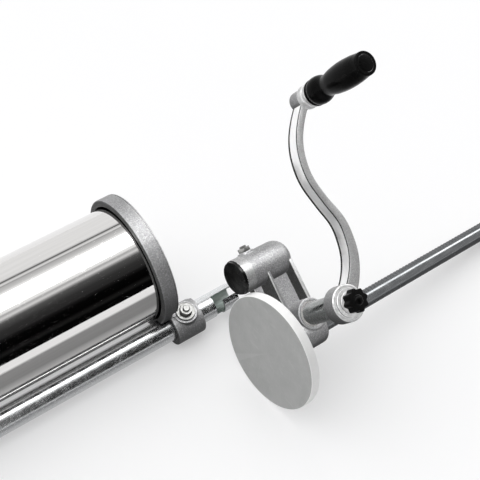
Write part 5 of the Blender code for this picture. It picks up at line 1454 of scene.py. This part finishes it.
def make_grip():
    plug_floor = GRIP_TOP - GRIP_PLUG_THICKNESS
    head_floor = plug_floor - GAP - SPINDLE_HEAD_THICKNESS
    room = SPINDLE_HEAD_RADIUS + GAP
    plug_room = GRIP_PLUG_RADIUS + GAP
    profile = [
        *grip_profile(),
        (GRIP_BORE_RADIUS, GRIP_FOOT),
        (GRIP_BORE_RADIUS, head_floor - GAP),
        (room, head_floor - GAP),
        (room, plug_floor - GAP),
        (plug_room, plug_floor - GAP),
        (plug_room, GRIP_TOP),
    ]
    grip = turned("grip_handle", profile)
    settle(grip, GRIP, "grip", BLACK_GLOSS, "black_plastic", "grip")
    plug = turned("grip_end_plug", bar_profile(GRIP_PLUG_RADIUS, plug_floor, GRIP_TOP))
    soften(plug, 0.0003, 3)
    settle(plug, GRIP, "grip", BLACK_GLOSS, "black_plastic", "grip_plug")
    groove_low, groove_high = 0.52 * GRIP_RING_THICKNESS, 0.64 * GRIP_RING_THICKNESS
    groove = GRIP_RING_RADIUS - GRIP_RING_GROOVE
    ring = turned("grip_foot_ring", [
        (GRIP_RING_RADIUS, GRIP_RING_THICKNESS),
        (GRIP_RING_RADIUS, groove_high),
        (groove, groove_high),
        (groove, groove_low),
        (GRIP_RING_RADIUS, groove_low),
        (GRIP_RING_RADIUS, 0),
        (SPINDLE_RADIUS + GAP, 0),
        (SPINDLE_RADIUS + GAP, GRIP_RING_THICKNESS),
    ])
    soften(ring, 0.0004, 3)
    settle(ring, GRIP @ shift(z=GRIP_RING_FOOT), "crank", MACHINED, "zinc_plated_steel", "grip_ring")
    spindle = turned("grip_spindle_pin", [
        (0, plug_floor - GAP),
        (SPINDLE_HEAD_RADIUS, plug_floor - GAP),
        (SPINDLE_HEAD_RADIUS, head_floor),
        (SPINDLE_RADIUS, head_floor),
        (SPINDLE_RADIUS, ARM_FROM),
        (0, ARM_FROM),
    ], ROUND_SMALL)
    soften(spindle, 0.0003, 2)
    settle(spindle, GRIP, "crank", ZINC, "zinc_plated_steel", "grip_spindle")


# Rack and pusher

def make_rack():
    start = PUSHER_THICKNESS + PUSHER_HUB_LENGTH - PUSHER_BORE_DEPTH + GAP
    end = RACK_LENGTH - TAIL_BUTTON_THICKNESS - GAP
    bar = moved(turned("rack_toothed_bar", bar_profile(RACK_RADIUS, start, end), ROUND_SMALL), Z_ALONG_X)
    first = math.ceil((RACK_TOOTHED_FROM - SHAFT_AT) / TOOTH_PITCH)
    last = math.floor((RACK_LENGTH - RACK_TAIL_PLAIN - SHAFT_AT) / TOOTH_PITCH)
    floor = RACK_CREST - TOOTH_DEPTH
    above = RACK_RADIUS + OVERRUN
    points = []
    for tooth in range(first, last + 1):
        at = SHAFT_AT + tooth * TOOTH_PITCH
        half_root = 0.5 * (TOOTH_PITCH - TOOTH_GAP_FLOOR)
        points += [(at - half_root, floor), (at - 0.5 * TOOTH_CREST, RACK_CREST),
                   (at + 0.5 * TOOTH_CREST, RACK_CREST), (at + half_root, floor)]
    low, high = points[0][0] - TOOTH_GAP_FLOOR, points[-1][0] + TOOTH_GAP_FLOOR
    outline = [(low, floor), *points, (high, floor), (high, above), (low, above)]
    comb = prism("tooth_comb", outline, -above, above)
    carve(bar, comb)
    soften(bar, 0.00012, 1)
    settle(bar, HEAD, "rack", RACK_STEEL, "chromed_steel", "rack_bar", sharp=LONG_SHARP_ANGLE)
    button = turned("rack_tail_button", bar_profile(TAIL_BUTTON_RADIUS, RACK_LENGTH - TAIL_BUTTON_THICKNESS,
                                                    RACK_LENGTH), ROUND_SMALL)
    soften(button, 0.0005, 3)
    settle(button, RACK_LINE, "rack", ZINC, "zinc_plated_steel", "rack_end_button")


def make_pusher():
    hub_end = PUSHER_THICKNESS + PUSHER_HUB_LENGTH
    room = RACK_RADIUS + GAP
    floor = hub_end - PUSHER_BORE_DEPTH
    profile = [
        (0, floor),
        (room, floor),
        (room, hub_end),
        (PUSHER_HUB_RADIUS, hub_end),
        (PUSHER_HUB_RADIUS, PUSHER_THICKNESS),
        *arc(PUSHER_RADIUS - PUSHER_EDGE, PUSHER_THICKNESS - PUSHER_EDGE, PUSHER_EDGE, 90, 0, 4),
        *arc(PUSHER_RADIUS - PUSHER_EDGE, PUSHER_EDGE, PUSHER_EDGE, 0, -90, 4),
        (0, 0),
    ]
    disc = turned("pusher_moulding", profile, ROUND_LARGE)
    # The rim gets the painted light and the faces the painted shade
    paint(disc, [DISC_FACE, DISC_RIM], lambda at, out: int(abs(out.z) < 0.9))
    settle(disc, RACK_LINE, "rack", None, "pale_grey_plastic", "pusher_disc")
    ring = washer_blank("pusher_lock_ring_steel", LOCK_RING_RADIUS, room, LOCK_RING_THICKNESS)
    settle(ring, RACK_LINE @ shift(z=hub_end + GAP), "rack", ZINC, "zinc_plated_steel", "pusher_lock_ring")


def dress_hidden_nodes():
    """The gasket stays as it is and gets its rubber."""
    gasket = frame["nodes"]["cap_gasket"]
    for place in gasket.material_slots:
        place.material = RUBBER


# Stage

def make_floor():
    """A pale table top that ends in front, below the camera. Mirror finishes see a painted shadow on it in front of the
    frame.
    """
    middle_y = FLOOR_FRONT + 0.5 * FLOOR_SIZE
    floor = begin("table_top", bpy.ops.mesh.primitive_plane_add, size=FLOOR_SIZE)
    floor.location.y = middle_y
    material, tree, sockets = new_finish("white_table", Roughness=0.6, Specular_IOR_Level=0.0)
    place = node(tree, "TexCoord").outputs["Object"]
    along = node(tree, "SeparateXYZ", None, {0: place}).outputs["Y"]
    # Painted shadow seen only in reflections: glossy rays find the floor darker between the two lines in front of the
    # frame
    lit, dim = FLOOR_IN_MIRRORS
    in_front = spread(tree, along, FLOOR_PAINTED_SHADOW_FROM[0] - middle_y, FLOOR_PAINTED_SHADOW_FROM[1] - middle_y, lit, dim)
    behind = spread(tree, along, FLOOR_PAINTED_SHADOW_TO[0] - middle_y, FLOOR_PAINTED_SHADOW_TO[1] - middle_y, dim, lit)
    mirrored = maths(tree, "MAXIMUM", in_front, behind)
    share = node(tree, "Mix", {"data_type": "FLOAT"},
                 {"Factor": node(tree, "LightPath").outputs["Is Glossy Ray"], 2: 1.0, 3: mirrored}).outputs[0]
    drift = maths(tree, "MULTIPLY", share, spread(tree, noise(tree, place, 3.0, 2), 0, 1, 0.99, 1.01))
    black = (0, 0, 0)
    feed(tree, sockets, Base_Color=tinted(tree, drift, black, FLOOR_ALBEDO),
         Emission_Color=tinted(tree, drift, black, (1, 1, 1)))
    sockets["Emission Strength"].default_value = FLOOR_GLOW
    floor.data.materials.append(material)


def make_camera():
    azimuth, elevation = CAMERA_AZIMUTH, CAMERA_ELEVATION
    back = Vector((math.sin(azimuth) * math.cos(elevation), -math.cos(azimuth) * math.cos(elevation),
                   math.sin(elevation)))
    right = Vector((math.cos(azimuth), math.sin(azimuth), 0))
    data = bpy.data.cameras.new("camera")
    data.lens, data.sensor_width = CAMERA_LENS, CAMERA_SENSOR
    camera = bpy.data.objects.new("camera", data)
    bpy.context.scene.collection.objects.link(camera)
    camera.matrix_world = axes_of(right, back.cross(right), back, FRAME.translation + Vector(CAMERA_FROM_BARREL))
    bpy.context.scene.camera = camera


def make_studio():
    """Soft white light from above and behind. Mirror finishes see a strip light and a dark room in front."""
    world = bpy.data.worlds.new("studio")
    bpy.context.scene.world = world
    world.use_nodes = True
    world.cycles.sampling_method = "NONE"
    tree = world.node_tree
    place = node(tree, "TexCoord").outputs["Generated"]
    direction = node(tree, "SeparateXYZ", None, {0: place}).outputs
    tilt = maths(tree, "ARCTAN2", maths(tree, "MULTIPLY", direction["Y"], -1.0), direction["Z"])
    ramp = node(tree, "ValToRGB", None, {0: spread(tree, tilt, -math.pi, math.pi)})
    elements = ramp.color_ramp.elements
    while len(elements) < len(ROOM_LEVELS):
        elements.new(0.5)
    for element, (angle, level) in zip(elements, ROOM_LEVELS):
        element.position = (angle + 180) / 360
        element.color = (level, level, level, 1)
    from_strip = maths(tree, "ABSOLUTE", maths(tree, "SUBTRACT", tilt, math.radians(STRIP_AT)))
    strip = spread(tree, from_strip, math.radians(STRIP_FULL), math.radians(STRIP_REACH), 1 + STRIP_POWER, 1.0)
    long_way = maths(tree, "MULTIPLY", ramp.outputs["Color"], strip)
    side = maths(tree, "MAXIMUM", spread(tree, direction["X"], DARK_FROM, DARK_FROM - DARK_BLUR),
                 spread(tree, direction["X"], DARK_TO, DARK_TO + DARK_BLUR))
    mirrored = node(tree, "Mix", {"data_type": "FLOAT"},
                    {"Factor": side, 2: long_way, 3: maths(tree, "MAXIMUM", long_way, SIDE_LEVEL)}).outputs[0]
    towards_key = node(tree, "VectorMath", {"operation": "DOT_PRODUCT"},
                       {0: place, 1: Vector(KEY_DIRECTION).normalized()}).outputs["Value"]
    lobe = maths(tree, "POWER", maths(tree, "MAXIMUM", towards_key, 0.0), KEY_SHARPNESS)
    key = maths(tree, "MULTIPLY", KEY_LEVEL, lobe)
    ray = node(tree, "LightPath").outputs
    lit = node(tree, "Mix", {"data_type": "FLOAT"},
               {"Factor": ray["Is Diffuse Ray"], 2: mirrored, 3: maths(tree, "ADD", key, FILL_LEVEL)}).outputs[0]
    seen = node(tree, "Mix", {"data_type": "FLOAT"},
                {"Factor": ray["Is Camera Ray"], 2: lit, 3: BACKGROUND_LEVEL}).outputs[0]
    background = tree.nodes["Background"]
    background.inputs["Strength"].default_value = 1.0
    tree.links.new(seen, background.inputs["Color"])
    bpy.context.scene.view_settings.view_transform = "Standard"


make_barrel()
make_collars()
make_clamps()
make_rail()
make_front_cap()
make_nozzle()
make_head_casting()
make_bushes()
make_lock()
make_shaft()
make_crank_arm()
make_hub_washer()
make_knob()
make_grip()
make_rack()
make_pusher()
dress_hidden_nodes()
make_floor()
make_camera()
make_studio()
